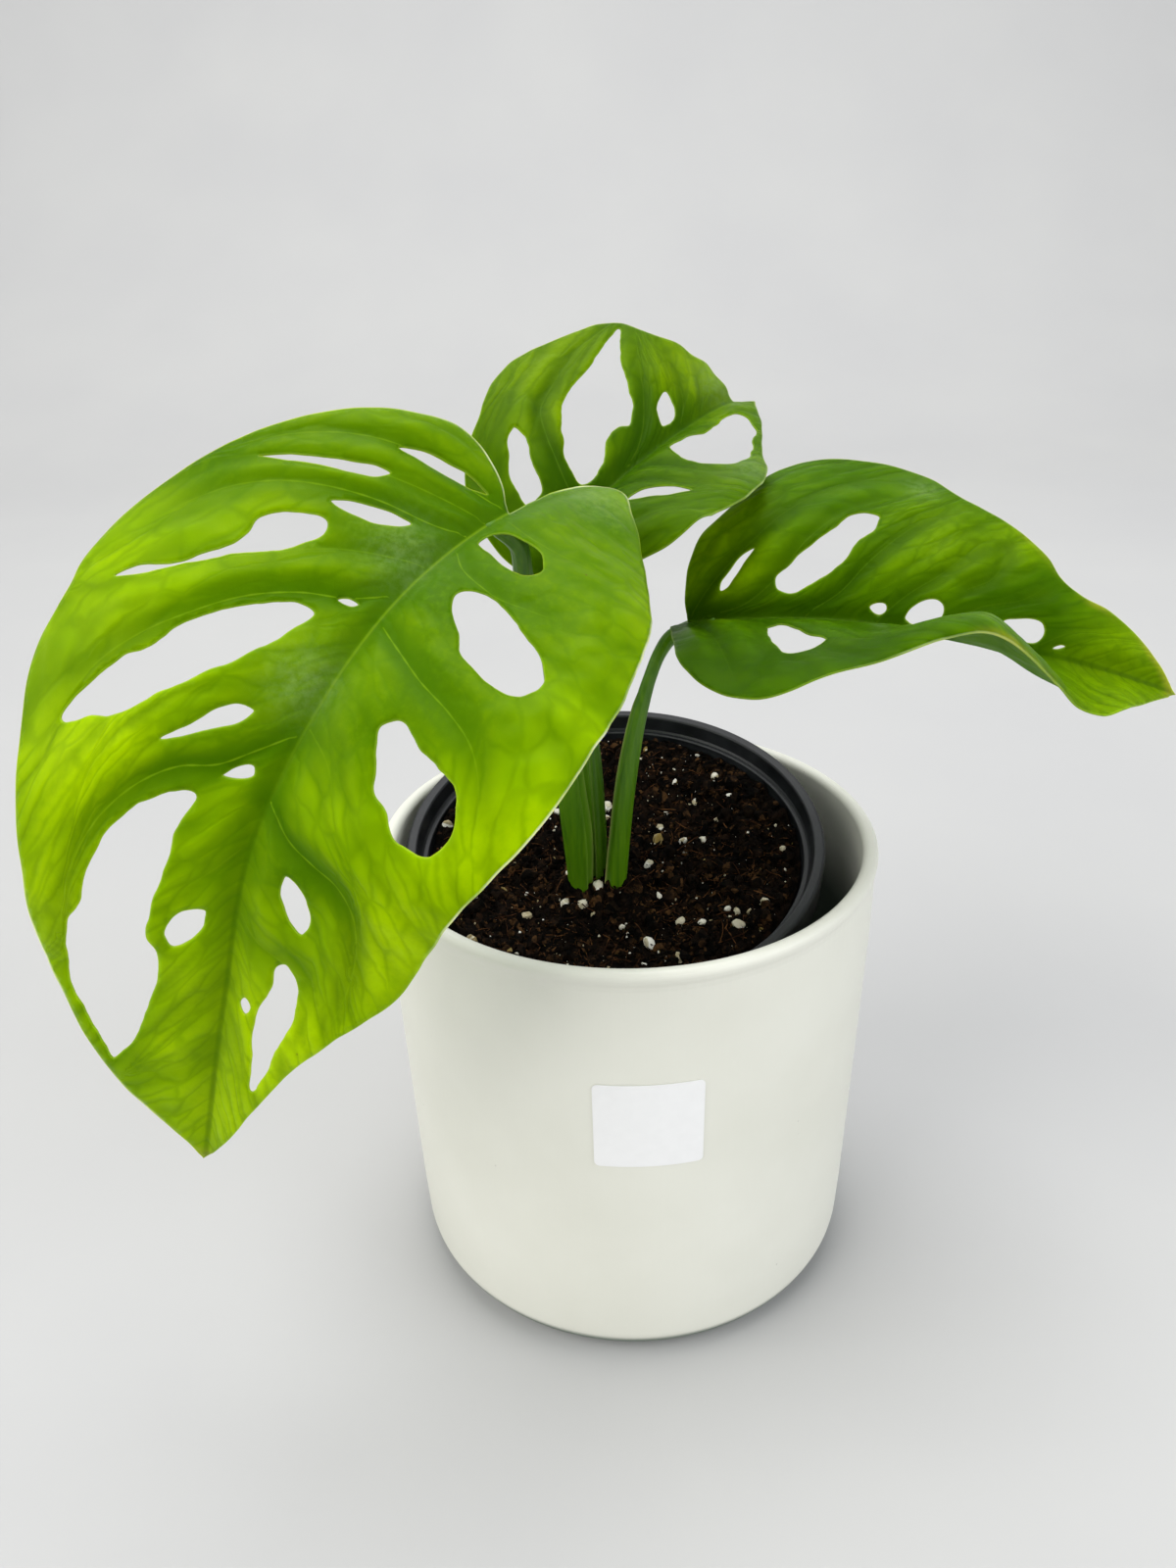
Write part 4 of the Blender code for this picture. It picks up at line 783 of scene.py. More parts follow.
def leaf_material(name, bright, middle, dark, line, glow, rim, shine):
    """Waxy green leaf with a paler matt underside."""
    made, tree, surface = new_material(name)
    chart = node(tree, "ShaderNodeUVMap", uv_map="flat leaf").outputs[0]
    fields = {key: node(tree, "ShaderNodeAttribute", attribute_name=key).outputs["Fac"] for key in FIELDS}
    for key, scale, rough in (("patches", 14.0, 0.5), ("speckle", 120.0, 0.6)):
        fields[key] = node(tree, "ShaderNodeTexNoise", [("Vector", chart)], Scale=scale, Detail=3.0,
                           Roughness=rough).outputs[0]
    fields["net"], fields["cells"] = vein_net(tree, chart, fields["vein_start"], fields["from_midrib"])
    fields["specks"] = node(tree, "ShaderNodeTexVoronoi", [("Vector", chart)], Scale=16.0,
                            Randomness=1.0).outputs["Distance"]

    # From the flesh outwards: each layer's colour, and the fields that say how thickly it lies. A field
    # with four numbers goes smoothly from the third to the fourth between its first and second.
    layers = [
        # Tone patches: lighter green, partly the leaf's own and partly painted light.
        (bright, ["lighter"]),
        (bright, ["patches", 0.45, 0.7, 0.0, 0.22]),
        (bright, ["cells", 0.0, 0.6, 0.2, 0.0]),
        # Tone patches: darker green, partly the leaf's own and partly painted shade.
        (dark, ["darker"]),
        (middle, ["speckle", 0.4, 0.75, 0.0, 0.25]),
        (dark, ["net", 0.0, 0.16, 0.26, 0.0]),
        (dark, ["streak"], ["patches", 0.3, 0.7, 0.4, 0.2]),
        # Darker near the midrib: partly the leaf's own deeper green, partly painted shade of the midrib's
        # groove.
        (dark, ["along", 0.4, 0.8, 1.0, 0.4], ["from_midrib", 0.3, 8.0, 0.75, 0.0]),
        # Painted shade: dark green beside each side vein, where its groove is shaded.
        (dark, ["vein_strength"], ["from_vein", 0.3, 5.0, 1.0, 0.0]),
        (line, ["along", 0.2, 0.6, 0.32, 0.0], ["from_midrib", 0.1, 0.4, 1.0, 0.0]),
        # Painted shade: a thin dark line in the midrib's groove, on the outer half of the leaf.
        (dark, ["along", 0.3, 0.6, 0.0, 0.5], ["from_midrib", 0.2, 0.9, 1.0, 0.0]),
        (line, ["vein_strength"], ["from_vein", 0.05, 0.3, 0.4, 0.0]),
        # Painted sheen: grey-green patches that stand for the wax's shine where light glances off it.
        (PAINTED_SHEEN, ["painted_sheen"], ["speckle", 0.3, 0.7, 0.06, 0.26]),
        (UNDERSIDE, ["underside", 0.0, 1.0, 0.0, 0.5]),
        (THIN_EDGE, ["from_edge", 0.1, 0.4, 0.2, 0.0]),
        (WORN_PALE, WORN, ["pale"], ["from_margin", 0.15, 0.55, rim, 0.0]),
        (WORN_DRY, WORN, ["dry"], ["from_margin", 0.2, 2.2, 0.55, 0.0]),
        (SPECK, ["specks", 0.012, 0.03, 0.7, 0.0]),
    ]
    flesh = node(tree, "ShaderNodeRGB").outputs[0]
    flesh.default_value = linear(middle)
    for colour, *amounts in layers:
        thick = None
        for key, *ends in amounts:
            amount = fields[key]
            if ends:
                low, high, start, end = ends
                amount = node(tree, "ShaderNodeMapRange", [("Value", amount)], From_Min=low, From_Max=high,
                              To_Min=start, To_Max=end, interpolation_type="SMOOTHSTEP").outputs[0]
            thick = amount if thick is None else node(
                tree, "ShaderNodeMath", [(0, thick), (1, amount)], operation="MULTIPLY").outputs[0]
        flesh = node(tree, "ShaderNodeMix", [(0, thick), (6, flesh)], [(7, linear(colour))],
                     data_type="RGBA").outputs[2]
    tree.links.new(flesh, surface.inputs["Base Color"])

    matt = node(tree, "ShaderNodeMapRange", [("Value", fields["underside"])], To_Min=0.42, To_Max=0.65)
    uneven = node(tree, "ShaderNodeMapRange", [("Value", fields["speckle"])], From_Min=0.3, From_Max=0.7,
                  To_Min=-0.05, To_Max=0.06, interpolation_type="SMOOTHSTEP")
    rough = node(tree, "ShaderNodeMath", [(0, matt.outputs[0]), (1, uneven.outputs[0])], operation="ADD")
    tree.links.new(rough.outputs[0], surface.inputs["Roughness"])
    surface.inputs["IOR"].default_value = 1.4
    surface.inputs["Specular IOR Level"].default_value = shine
    surface.inputs["Specular Tint"].default_value = linear("#C6E83A")
    surface.inputs["Subsurface Weight"].default_value = glow
    surface.inputs["Subsurface Radius"].default_value = (0.9, 1.0, 0.03)
    surface.inputs["Subsurface Scale"].default_value = 0.0016

    puffed = node(tree, "ShaderNodeMapRange", [("Value", fields["net"])], From_Min=0.0, From_Max=0.3,
                  interpolation_type="SMOOTHSTEP")
    puffed = node(tree, "ShaderNodeBump", [("Height", puffed.outputs[0])], Strength=0.3, Distance=0.0003)
    grain = node(tree, "ShaderNodeTexNoise", [("Vector", chart)], Scale=450.0, Detail=2.0)
    grain = node(tree, "ShaderNodeBump", [("Height", grain.outputs[0]), ("Normal", puffed.outputs[0])],
                 Strength=0.2, Distance=0.0001)
    tree.links.new(grain.outputs[0], surface.inputs["Normal"])
    return made


young_leaf = leaf_material("young waxy leaf, sunlit green", "#AAC800", "#769A00", "#406800", "#8FB41A",
                           glow=0.75, rim=1.0, shine=0.14)
shaded_leaf = leaf_material("young waxy leaf, shaded green", "#6E8C00", "#476900", "#284A00", "#5A7A1A",
                            glow=0.8, rim=0.4, shine=0.06)
grown_leaf = leaf_material("grown waxy leaf, deeper green", "#6A8C00", "#3E6400", "#264800", "#567818",
                           glow=0.8, rim=0.3, shine=0.07)

# %% Make the leaves
for name, leaf, finish, spacing in [("front_leaf", FRONT_LEAF, young_leaf, 1.0),
                                    ("back_leaf", BACK_LEAF, shaded_leaf, 0.9),
                                    ("right_leaf", RIGHT_LEAF, grown_leaf, 0.8)]:
    finish_piece(build_blade(name + "_blade", leaf, spacing), finish, name)

# %% [markdown]
# ## Stalks
# Each leaf stands on a stalk that is round near the leaf and clasps the stem near the soil with a thin
# open sheath. A tube of rings along a smooth path does it. Every ring's outline is the same formula: a
# circle with a shallow channel up its inner side, and a sharp lip on each side of the channel as far up
# as the sheath reaches. A plain curve with a bevel couldn't change its outline along the way.

# %% Stalk routes, in millimetres
# x, y, z and radius from inside the soil to just under the blade.
FRONT_STALK = [(-12.4, -7.3, 103.5, 2.6), (-12.4, -7.3, 109, 2.7), (-12.7, -8, 122.8, 3.3),
               (-14.1, -10, 140.3, 3.2), (-15.8, -14, 162.6, 2.6), (-17.6, -18.5, 181, 2.3),
               (-21.7, -23, 195.7, 2.1), (-22.6, -26, 204, 2.0)]
BACK_STALK = [(-7.6, -3.6, 103.5, 2.3), (-7.6, -3.4, 109, 2.3), (-7.9, -1.8, 128.5, 2.4),
              (-8.9, -0.6, 146.7, 2.3), (-10.6, 0.8, 161.4, 2.0), (-12.5, 2.8, 175.4, 1.8),
              (-14.2, 4.6, 184, 1.7)]
RIGHT_STALK = [(-3.4, -7.8, 103.5, 2.6), (-3.2, -7.5, 109, 2.6), (-1.9, -7.2, 124.6, 2.5),
               (0, -6.7, 140.7, 2.4), (3.5, -5.2, 158, 1.9), (5.8, -3.7, 165.1, 1.6),
               (8.0, -1.0, 169.3, 1.6), (11.5, 3.0, 172.3, 1.8)]


# %% Stalk builder
# Lengths and heights are in millimetres. CHANNEL, NEAR_LIP and FAR_LIP say where they lie round the stalk
# and how wide they are, in radians. Depths are shares of the radius: the channel's on a bare stalk and
# what the sheath adds, the lips', and those of the fine strands and of the ribs low down, with how many
# of them go round the stalk.
RING_STEP = 1.2
CHANNEL = (0.0, 0.34)
NEAR_LIP = (0.5, 0.14)
FAR_LIP = (-0.5, 0.14)
CHANNEL_DEPTH, SHEATH_DEPTH = 0.08, 0.22
LIP_HEIGHT, FAR_LIP_SHARE = 0.3, 0.6
STRANDS = (0.018, 11)
RIBS = (0.02, 5)
SHEATH_CLOSES = 2.5
RIBBED_BELOW, RIBS_GROW = 135, 30


def build_stalk(name, route, leaf, top_radius, channel, sheath_top, pale, around=90):
    """A stalk with an open sheath, ending inside the midrib's swelling under the blade."""
    blade = Blade(leaf)
    ends = []
    for x, sink, radius in ((3.0, top_radius + 0.9, top_radius), (7.0, 0.8, 0.5)):
        point, _, _, out = blade.frame(np.array([x]))
        ends.append((*(point - out * sink)[0], radius))
    path = resample(np.array(route + ends), RING_STEP)
    centre, radius = path[:, :3], path[:, 3, None, None]
    along = unit(np.gradient(centre, axis=0))
    channel = math.radians(channel)
    side = unit(np.cross(along, np.array([math.cos(channel), math.sin(channel), 0.0])))
    front = np.cross(side, along)

    angles = np.linspace(0, math.tau, around, endpoint=False)
    gap, near_lip, far_lip = (bell((angles - middle + math.pi) % math.tau - math.pi, width)
                              for middle, width in (CHANNEL, NEAR_LIP, FAR_LIP))
    sheathed = np.clip((sheath_top - centre[:, 2, None]) / SHEATH_CLOSES, 0, 1) ** 0.5
    low_down = np.clip((RIBBED_BELOW - centre[:, 2, None]) / RIBS_GROW, 0, 1)
    strands = STRANDS[0] * np.cos(angles * STRANDS[1]) + RIBS[0] * low_down * np.cos(angles * RIBS[1] + 1)
    lips = (near_lip + FAR_LIP_SHARE * far_lip) * (0.7 + 0.3 * low_down)
    scale = 1 - (CHANNEL_DEPTH + SHEATH_DEPTH * sheathed) * gap + LIP_HEIGHT * sheathed * lips + strands
    rings = (centre[:, None] + radius * scale[..., None]
             * (np.cos(angles)[:, None] * front[:, None] + np.sin(angles)[:, None] * side[:, None]))
    points = np.concatenate([rings.reshape(-1, 3), centre[:1], centre[-1:]]) * MM

    count = len(path)
    low, last = count * around, (count - 1) * around
    faces = quads(count, around)
    for a, b in zip(range(around), [*range(1, around), 0]):
        faces += [(b, a, low), (last + a, last + b, low + 1)]
    made = add_mesh(name, points.tolist(), faces)
    bm = bmesh.new()
    bm.from_mesh(made.data)
    bmesh.ops.recalc_face_normals(bm, faces=bm.faces)
    bm.to_mesh(made.data)
    add_field(made.data, "sheath_lip", np.append((pale * sheathed * lips**2).ravel(), [0, 0]))
    print(name, "has", len(faces), "faces")
    return made


# %% Stalk material
def stalk_material():
    """Fresh green stem skin: smooth, a little waxy, with fine lengthwise strands and a paler lip."""
    made, tree, surface = new_material("fresh green stalk skin")
    place = node(tree, "ShaderNodeTexCoord").outputs["Object"]
    stretch = node(tree, "ShaderNodeMapping", [("Vector", place)], Scale=(900.0, 900.0, 25.0))
    strands = node(tree, "ShaderNodeTexNoise", [("Vector", stretch.outputs[0])], Scale=1.0, Detail=3.0)
    blotch = node(tree, "ShaderNodeTexNoise", [("Vector", place)], Scale=120.0, Detail=2.0)
    green = node(tree, "ShaderNodeValToRGB", [("Fac", strands.outputs[0])],
                 stops=[(0.3, "#326200"), (0.72, "#608E02")])
    even = node(tree, "ShaderNodeMix", [(0, blotch.outputs[0]), (6, green.outputs[0])],
                [(7, linear("#507E02"))], data_type="RGBA")
    lip = node(tree, "ShaderNodeAttribute", attribute_name="sheath_lip").outputs["Fac"]
    colour = node(tree, "ShaderNodeMix", [(0, lip), (6, even.outputs[2])], [(7, linear("#BFB878"))],
                  data_type="RGBA")
    tree.links.new(colour.outputs[2], surface.inputs["Base Color"])
    surface.inputs["Roughness"].default_value = 0.42
    surface.inputs["IOR"].default_value = 1.42
    surface.inputs["Subsurface Weight"].default_value = 0.2
    surface.inputs["Subsurface Radius"].default_value = (0.6, 1.0, 0.2)
    surface.inputs["Subsurface Scale"].default_value = 0.0015
    ridges = node(tree, "ShaderNodeBump", [("Height", strands.outputs[0])], Strength=0.25, Distance=0.0002)
    tree.links.new(ridges.outputs[0], surface.inputs["Normal"])
    return made


# %% Make the stalks
stalk_skin = stalk_material()
for name, route, leaf, top_radius, channel, sheath_top, pale in [
        ("front_stalk", FRONT_STALK, FRONT_LEAF, 2.0, -20, 176.0, 0.3),
        ("back_stalk", BACK_STALK, BACK_LEAF, 1.6, -130, 150.0, 0.2),
        ("right_stalk", RIGHT_STALK, RIGHT_LEAF, 1.6, 171, 160.5, 1.0)]:
    stalk = build_stalk(name + "_skin", route, leaf, top_radius, channel, sheath_top, pale)
    finish_piece(stalk, stalk_skin, name)

# %% [markdown]
# ## Cover pot
# The cover pot is slip-cast stoneware with a matt white glaze: a plain taper, a wide soft radius at the
# foot and a rounded lip with a slight bead. A profile turned about the axis with the Screw modifier is
# how a potter's wheel makes it, and its sizes are read from the solid.

# %% Turning
def turned(name, profile, steps=192):
    """Turns a profile in metres about Z. It runs up the inside and down the outside.

    That way round, the faces point outwards. They stay flat, so that the profile's corners stay sharp.
    """
    made = add_mesh(name, [(r, 0.0, z) for r, z in profile], [],
                    edges=[(i, i + 1) for i in range(len(profile) - 1)])
    screw = made.modifiers.new("turn", "SCREW")
    screw.angle = math.tau
    screw.steps = screw.render_steps = steps
    screw.use_merge_vertices = True
    screw.merge_threshold = 0.000005
    screw.use_smooth_shade = False
    return made


def settle(made, place=Matrix.Identity(4)):
    """Applies the modifiers and moves the place into the mesh."""
    graph = bpy.context.evaluated_depsgraph_get()
    mesh = bpy.data.meshes.new_from_object(made.evaluated_get(graph))
    made.modifiers.clear()
    made.data = mesh
    made.matrix_world = Matrix.Identity(4)
    mesh.transform(place)
    return made


def arc(r, z, radius, start, end, count=8):
    """Points of a round corner in a profile, by its centre, radius and angles in degrees."""
    return [(r + radius * math.cos(a), z + radius * math.sin(a))
            for a in np.radians(np.linspace(start, end, count))]


# %% Cover pot's shape
_, pot_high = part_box("cover_pot")
POT_HEIGHT = pot_high.z
POT_TOP_R = pot_high.x
POT_BOTTOM_R = POT_TOP_R - 3.0 * MM
POT_WALL = 3.7 * MM
POT_FLOOR = 7.5 * MM
FOOT_R = 9.0 * MM
LIP_R = 1.8 * MM
LIP_DROP = 2.8 * MM


def pot_radius(z):
    return POT_BOTTOM_R + (POT_TOP_R - POT_BOTTOM_R) * z / POT_HEIGHT


neck = pot_radius(POT_HEIGHT - LIP_DROP) - POT_WALL
corner = 5 * MM
profile = [
    (0, POT_FLOOR),
    *arc(pot_radius(POT_FLOOR) - POT_WALL - corner, POT_FLOOR + corner, corner, -90, 0),
    *[(pot_radius(z) - POT_WALL, z) for z in np.linspace(0.03, 0.11, 5)],
    (neck, POT_HEIGHT - LIP_DROP),
    *arc(neck + LIP_R, POT_HEIGHT - LIP_R, LIP_R, 180, 90, 7),
    *arc(POT_TOP_R - LIP_R, POT_HEIGHT - LIP_R, LIP_R, 90, 0, 7),
    (POT_TOP_R - 0.12 * MM, POT_HEIGHT - 2.6 * MM),
    (POT_TOP_R - 0.45 * MM, POT_HEIGHT - 3.6 * MM),
    (pot_radius(POT_HEIGHT - 5 * MM) - 0.5 * MM, POT_HEIGHT - 5.0 * MM),
    *[(pot_radius(z) - 0.3 * MM * (z > 0.1), z) for z in np.linspace(0.112, 0.02, 8)],
    *arc(POT_BOTTOM_R - FOOT_R, FOOT_R, FOOT_R, 0, -90, 14),
    (0.03, 0),
    (0, 0),
]
cover = settle(turned("cover_pot_glaze", profile))


# %% Matt glaze
def glaze_material():
    """Matt white stoneware glaze: soft broad shine, faint warm mottling, dust specks, painted shade deep
    inside.
    """
    made, tree, surface = new_material("matt white stoneware glaze")
    place = node(tree, "ShaderNodeTexCoord").outputs["Object"]
    mottle = node(tree, "ShaderNodeTexNoise", [("Vector", place)], Scale=22.0, Detail=4.0)
    white = node(tree, "ShaderNodeValToRGB", [("Fac", mottle.outputs[0])],
                 stops=[(0.35, "#E2E2D6"), (0.7, "#E9E9DE")])
    specks = node(tree, "ShaderNodeTexVoronoi", [("Vector", place)], Scale=95.0, Randomness=1.0)
    near = node(tree, "ShaderNodeMapRange", [("Value", specks.outputs["Distance"])], From_Min=0.012,
                From_Max=0.03, To_Min=0.5, To_Max=0.0)
    spotted = node(tree, "ShaderNodeMix", [(0, near.outputs[0]), (6, white.outputs[0])],
                   [(7, linear("#8A8578"))], data_type="RGBA")
    height = node(tree, "ShaderNodeSeparateXYZ", [("Vector", place)]).outputs["Z"]
    flat = node(tree, "ShaderNodeVectorMath", [(0, place)], [(1, (1.0, 1.0, 0.0))], operation="MULTIPLY")
    out = node(tree, "ShaderNodeVectorMath", [(0, flat.outputs[0])], operation="LENGTH").outputs["Value"]
    # Painted shade: below the lip the inner wall darkens to grey-green with depth, where the shade between
    # the two pots falls.
    indoors = node(tree, "ShaderNodeMapRange", [("Value", out)], From_Min=neck + 0.6 * MM, From_Max=neck)
    deep = node(tree, "ShaderNodeMapRange", [("Value", height)], From_Min=POT_HEIGHT - 14 * MM,
                From_Max=POT_HEIGHT - 30 * MM, To_Max=0.92)
    painted_deep_shade = node(tree, "ShaderNodeMath", [(0, indoors.outputs[0]), (1, deep.outputs[0])],
                operation="MULTIPLY")
    colour = node(tree, "ShaderNodeMix", [(0, painted_deep_shade.outputs[0]), (6, spotted.outputs[2])],
                  [(7, linear("#5C6B5D"))], data_type="RGBA")
    tree.links.new(colour.outputs[2], surface.inputs["Base Color"])
    rough = node(tree, "ShaderNodeMapRange", [("Value", mottle.outputs[0])], To_Min=0.36, To_Max=0.52)
    tree.links.new(rough.outputs[0], surface.inputs["Roughness"])
    surface.inputs["IOR"].default_value = 1.5
    grain = node(tree, "ShaderNodeTexNoise", [("Vector", place)], Scale=700.0, Detail=3.0)
    grain = node(tree, "ShaderNodeBump", [("Height", grain.outputs[0])], Strength=0.1, Distance=0.0001)
    tree.links.new(grain.outputs[0], surface.inputs["Normal"])
    return made


finish_piece(cover, glaze_material(), "cover_pot")
print("cover pot", round(POT_HEIGHT * 1000, 1), "mm high")

# %% [markdown]
# ## Nursery pot
# Growers' pots are vacuum-formed or moulded polypropylene, black with a satin face that scuffs grey. This
# one leans in the cover pot, so it is turned upright and then placed by its own matrix.

# %% Nursery pot's place and sizes
RIM_CENTRE = Vector((-3.4, -0.5, 120.3)) * MM
LEAN = Euler((math.radians(13.0), math.radians(-1.3), 0.0))
NURSERY_HEIGHT = 108.0 * MM
RIM_R = 53.0 * MM
RIM_WALL = 2.9 * MM
BASE_R = 32.5 * MM
WALL = 1.2 * MM
SKIRT = 9.0 * MM
LEDGE = 4.4 * MM
SOIL_DROP = 10.5 * MM
nursery_place = (Matrix.Translation(RIM_CENTRE) @ LEAN.to_matrix().to_4x4()
                 @ Matrix.Translation((0, 0, -NURSERY_HEIGHT)))


def nursery_inner(z):
    """Inside of the tapering wall at a height, below the rim band."""
    top = RIM_R - RIM_WALL - 3.2 * MM
    return BASE_R - WALL + (top - BASE_R + WALL) * z / (NURSERY_HEIGHT - SKIRT)


# %% Nursery pot's shape
top = NURSERY_HEIGHT
inner_rim = RIM_R - RIM_WALL
below = top - SKIRT
profile = [
    (0, WALL),
    (nursery_inner(WALL) - 1 * MM, WALL),
    (nursery_inner(2 * WALL), 2 * WALL),
    (nursery_inner(below) - 0.1 * MM, below - 1 * MM),
    (nursery_inner(below), below),
    (inner_rim - 2.3 * MM, top - LEDGE - 1.4 * MM),
    (inner_rim - 2.2 * MM, top - LEDGE - 0.9 * MM),
    *arc(inner_rim - 1.7 * MM, top - LEDGE - 0.5 * MM, 0.5 * MM, 180, 90, 4),
    (inner_rim - 1.0 * MM, top - LEDGE),
    (inner_rim - 0.6 * MM, top - LEDGE + 0.5 * MM),
    (inner_rim - 0.1 * MM, top - 1.2 * MM),
    *arc(inner_rim + 0.7 * MM, top - 0.7 * MM, 0.7 * MM, 180, 90, 5),
    *arc(RIM_R - 0.8 * MM, top - 0.8 * MM, 0.8 * MM, 90, 0, 6),
    (RIM_R - 0.3 * MM, below + 0.4 * MM),
    (RIM_R - 0.7 * MM, below),
    (nursery_inner(below) + WALL + 0.5 * MM, below - 0.3 * MM),
    (nursery_inner(below) + WALL, below - 1.2 * MM),
    (BASE_R + 0.1 * MM, 2.2 * MM),
    *arc(BASE_R - 1.5 * MM, 1.5 * MM, 1.5 * MM, 0, -90, 5),
    (0, 0),
]
nursery = turned("nursery_pot_shell", profile)

DRAINS, DRAIN_RING, DRAIN_R = 6, 22 * MM, 4 * MM
drain = bmesh.new()
for angle in np.arange(DRAINS) * math.tau / DRAINS:
    spot = Matrix.Translation((DRAIN_RING * math.cos(angle), DRAIN_RING * math.sin(angle), 0))
    bmesh.ops.create_cone(drain, cap_ends=True, segments=32, radius1=DRAIN_R, radius2=DRAIN_R,
                          depth=5 * WALL, matrix=spot)
drain_mesh = bpy.data.meshes.new("drain holes")
drain.to_mesh(drain_mesh)
drain_cutter = add_object("drain holes", drain_mesh)
cut = nursery.modifiers.new("drain", "BOOLEAN")
cut.operation = "DIFFERENCE"
cut.solver = "EXACT"
cut.object = drain_cutter
settle(nursery, nursery_place)
bpy.data.objects.remove(drain_cutter)
print("nursery pot has", len(nursery.data.polygons), "faces")


# %% Black polypropylene
def black_plastic():
    """Moulded polypropylene: near black, satin, with grey scuffs and a film of dust and dried soil."""
    made, tree, surface = new_material("black moulded polypropylene")
    place = node(tree, "ShaderNodeTexCoord").outputs["Object"]
    dust = node(tree, "ShaderNodeTexNoise", [("Vector", place)], Scale=55.0, Detail=6.0, Roughness=0.65)
    colour = node(tree, "ShaderNodeValToRGB", [("Fac", dust.outputs[0])],
                  stops=[(0.42, "#090C0F"), (0.85, "#2A2E31")])
    tree.links.new(colour.outputs[0], surface.inputs["Base Color"])
    rough = node(tree, "ShaderNodeMapRange", [("Value", dust.outputs[0])], To_Min=0.28, To_Max=0.6)
    tree.links.new(rough.outputs[0], surface.inputs["Roughness"])
    surface.inputs["IOR"].default_value = 1.49
    grain = node(tree, "ShaderNodeTexNoise", [("Vector", place)], Scale=900.0, Detail=2.0)
    grain = node(tree, "ShaderNodeBump", [("Height", grain.outputs[0])], Strength=0.15, Distance=0.0001)
    tree.links.new(grain.outputs[0], surface.inputs["Normal"])
    return made


finish_piece(nursery, black_plastic(), "nursery_pot")

# %% [markdown]
# ## Soil
# Potting mix is peat, bark and coir with white perlite, which is puffed volcanic glass. Its top is a disc
# of fine rings pushed up and down by layered noise. Crumbs, perlite and fibres are scattered on it with
# Geometry Nodes, each with its own seed, and each grain is bent by noise so that no two look alike.

# %% Soil body
# LUMPS are pairs: how close together the lumps of one size stand, and how high they are. Heights and
# HEAP_R are in millimetres. The bank at the edge rises over a share of the radius, from BANK_FROM on.
LUMPS = [(0.13, 2.6), (0.29, 2.2), (0.62, 1.2), (1.2, 0.6)]
BROAD_LUMPS = 0.04
SOIL_SINK = 1.6
SOIL_BANK = 5.2
BANK_FROM, BANK_OVER = 0.5, 0.45
SOIL_HEAP = 2.6
HEAP_R = 6.5
EDGE_DROP = 0.6 * MM
SOIL_AROUND = 360
SOIL_ROWS = 92
soil_top = NURSERY_HEIGHT - SOIL_DROP
soil_r = inner_rim - 2.7 * MM
soil_base = WALL + 0.3 * MM
SIDES = [(nursery_inner(z) - 0.45 * MM, z) for z in (soil_base, soil_top - 3 * MM, below)]
into_soil = nursery_place.inverted()
HEAPS = [into_soil @ (Vector(route[1][:3]) * MM) / MM for route in (FRONT_STALK, BACK_STALK, RIGHT_STALK)]


def soil_height(x, y):
    """Height in metres over the soil's level, at a place in millimetres: lumps with sharp cracks between."""
    broad = noise.fractal((x * BROAD_LUMPS, y * BROAD_LUMPS, 1.7), 1.0, 2.0, 2)
    share = min(1.0, max(0.0, (math.hypot(x, y) * MM / soil_r - BANK_FROM) / BANK_OVER))
    banked = SOIL_BANK * share * share * (3 - 2 * share)
    lumps = [abs(noise.noise((x * step, y * step, 4.1))) * high for step, high in LUMPS]
    heaped = SOIL_HEAP * max(math.exp(-((x - at.x) ** 2 + (y - at.y) ** 2) / HEAP_R**2) for at in HEAPS)
    return (broad + sum(lumps) - SOIL_SINK + banked + heaped) * MM


def soil_body():
    """Rings up the plain sides, then inwards over the lumpy top."""
    round_it = [(math.cos(a), math.sin(a)) for a in np.linspace(0, math.tau, SOIL_AROUND, endpoint=False)]
    points = [(radius * x, radius * y, z) for radius, z in SIDES for x, y in round_it]
    for share in np.linspace(1, 0.012, SOIL_ROWS):
        edge_drop = -EDGE_DROP * max(0.0, (share - 0.96) / 0.04)
        for x, y in round_it:
            x, y = soil_r * share * x, soil_r * share * y
            points.append((x, y, soil_top + soil_height(x / MM, y / MM) + edge_drop))
    faces = quads(len(SIDES) + SOIL_ROWS, SOIL_AROUND)
    faces += [range(SOIL_AROUND)[::-1], range(len(points) - SOIL_AROUND, len(points))]
    made = add_mesh("soil_body", points, faces)
    made.data.transform(nursery_place)
    return made


soil = soil_body()
print("soil has", len(soil.data.polygons), "faces")


# %% Soil materials
def soil_material(name, colours, scale=220.0, roughness=0.92, bump_depth=0.0008):
    """A loose, matt, earthy surface whose colour changes from crumb to crumb."""
    made, tree, surface = new_material(name)
    place = node(tree, "ShaderNodeTexCoord").outputs["Object"]
    crumbs = node(tree, "ShaderNodeTexVoronoi", [("Vector", place)], Scale=scale * 2.2, Randomness=1.0)
    grains = node(tree, "ShaderNodeTexNoise", [("Vector", place)], Scale=scale, Detail=6.0, Roughness=0.7)
    pick = node(tree, "ShaderNodeMix", [(6, crumbs.outputs["Color"]), (7, grains.outputs[0])], [(0, 0.5)],
                data_type="RGBA")
    colour = node(tree, "ShaderNodeValToRGB", [("Fac", pick.outputs[2])], stops=colours)
    tree.links.new(colour.outputs[0], surface.inputs["Base Color"])
    surface.inputs["Roughness"].default_value = roughness
    surface.inputs["Specular IOR Level"].default_value = 0.06
    rough = node(tree, "ShaderNodeBump", [("Height", grains.outputs[0])], Strength=0.9, Distance=bump_depth)
    tree.links.new(rough.outputs[0], surface.inputs["Normal"])
    return made


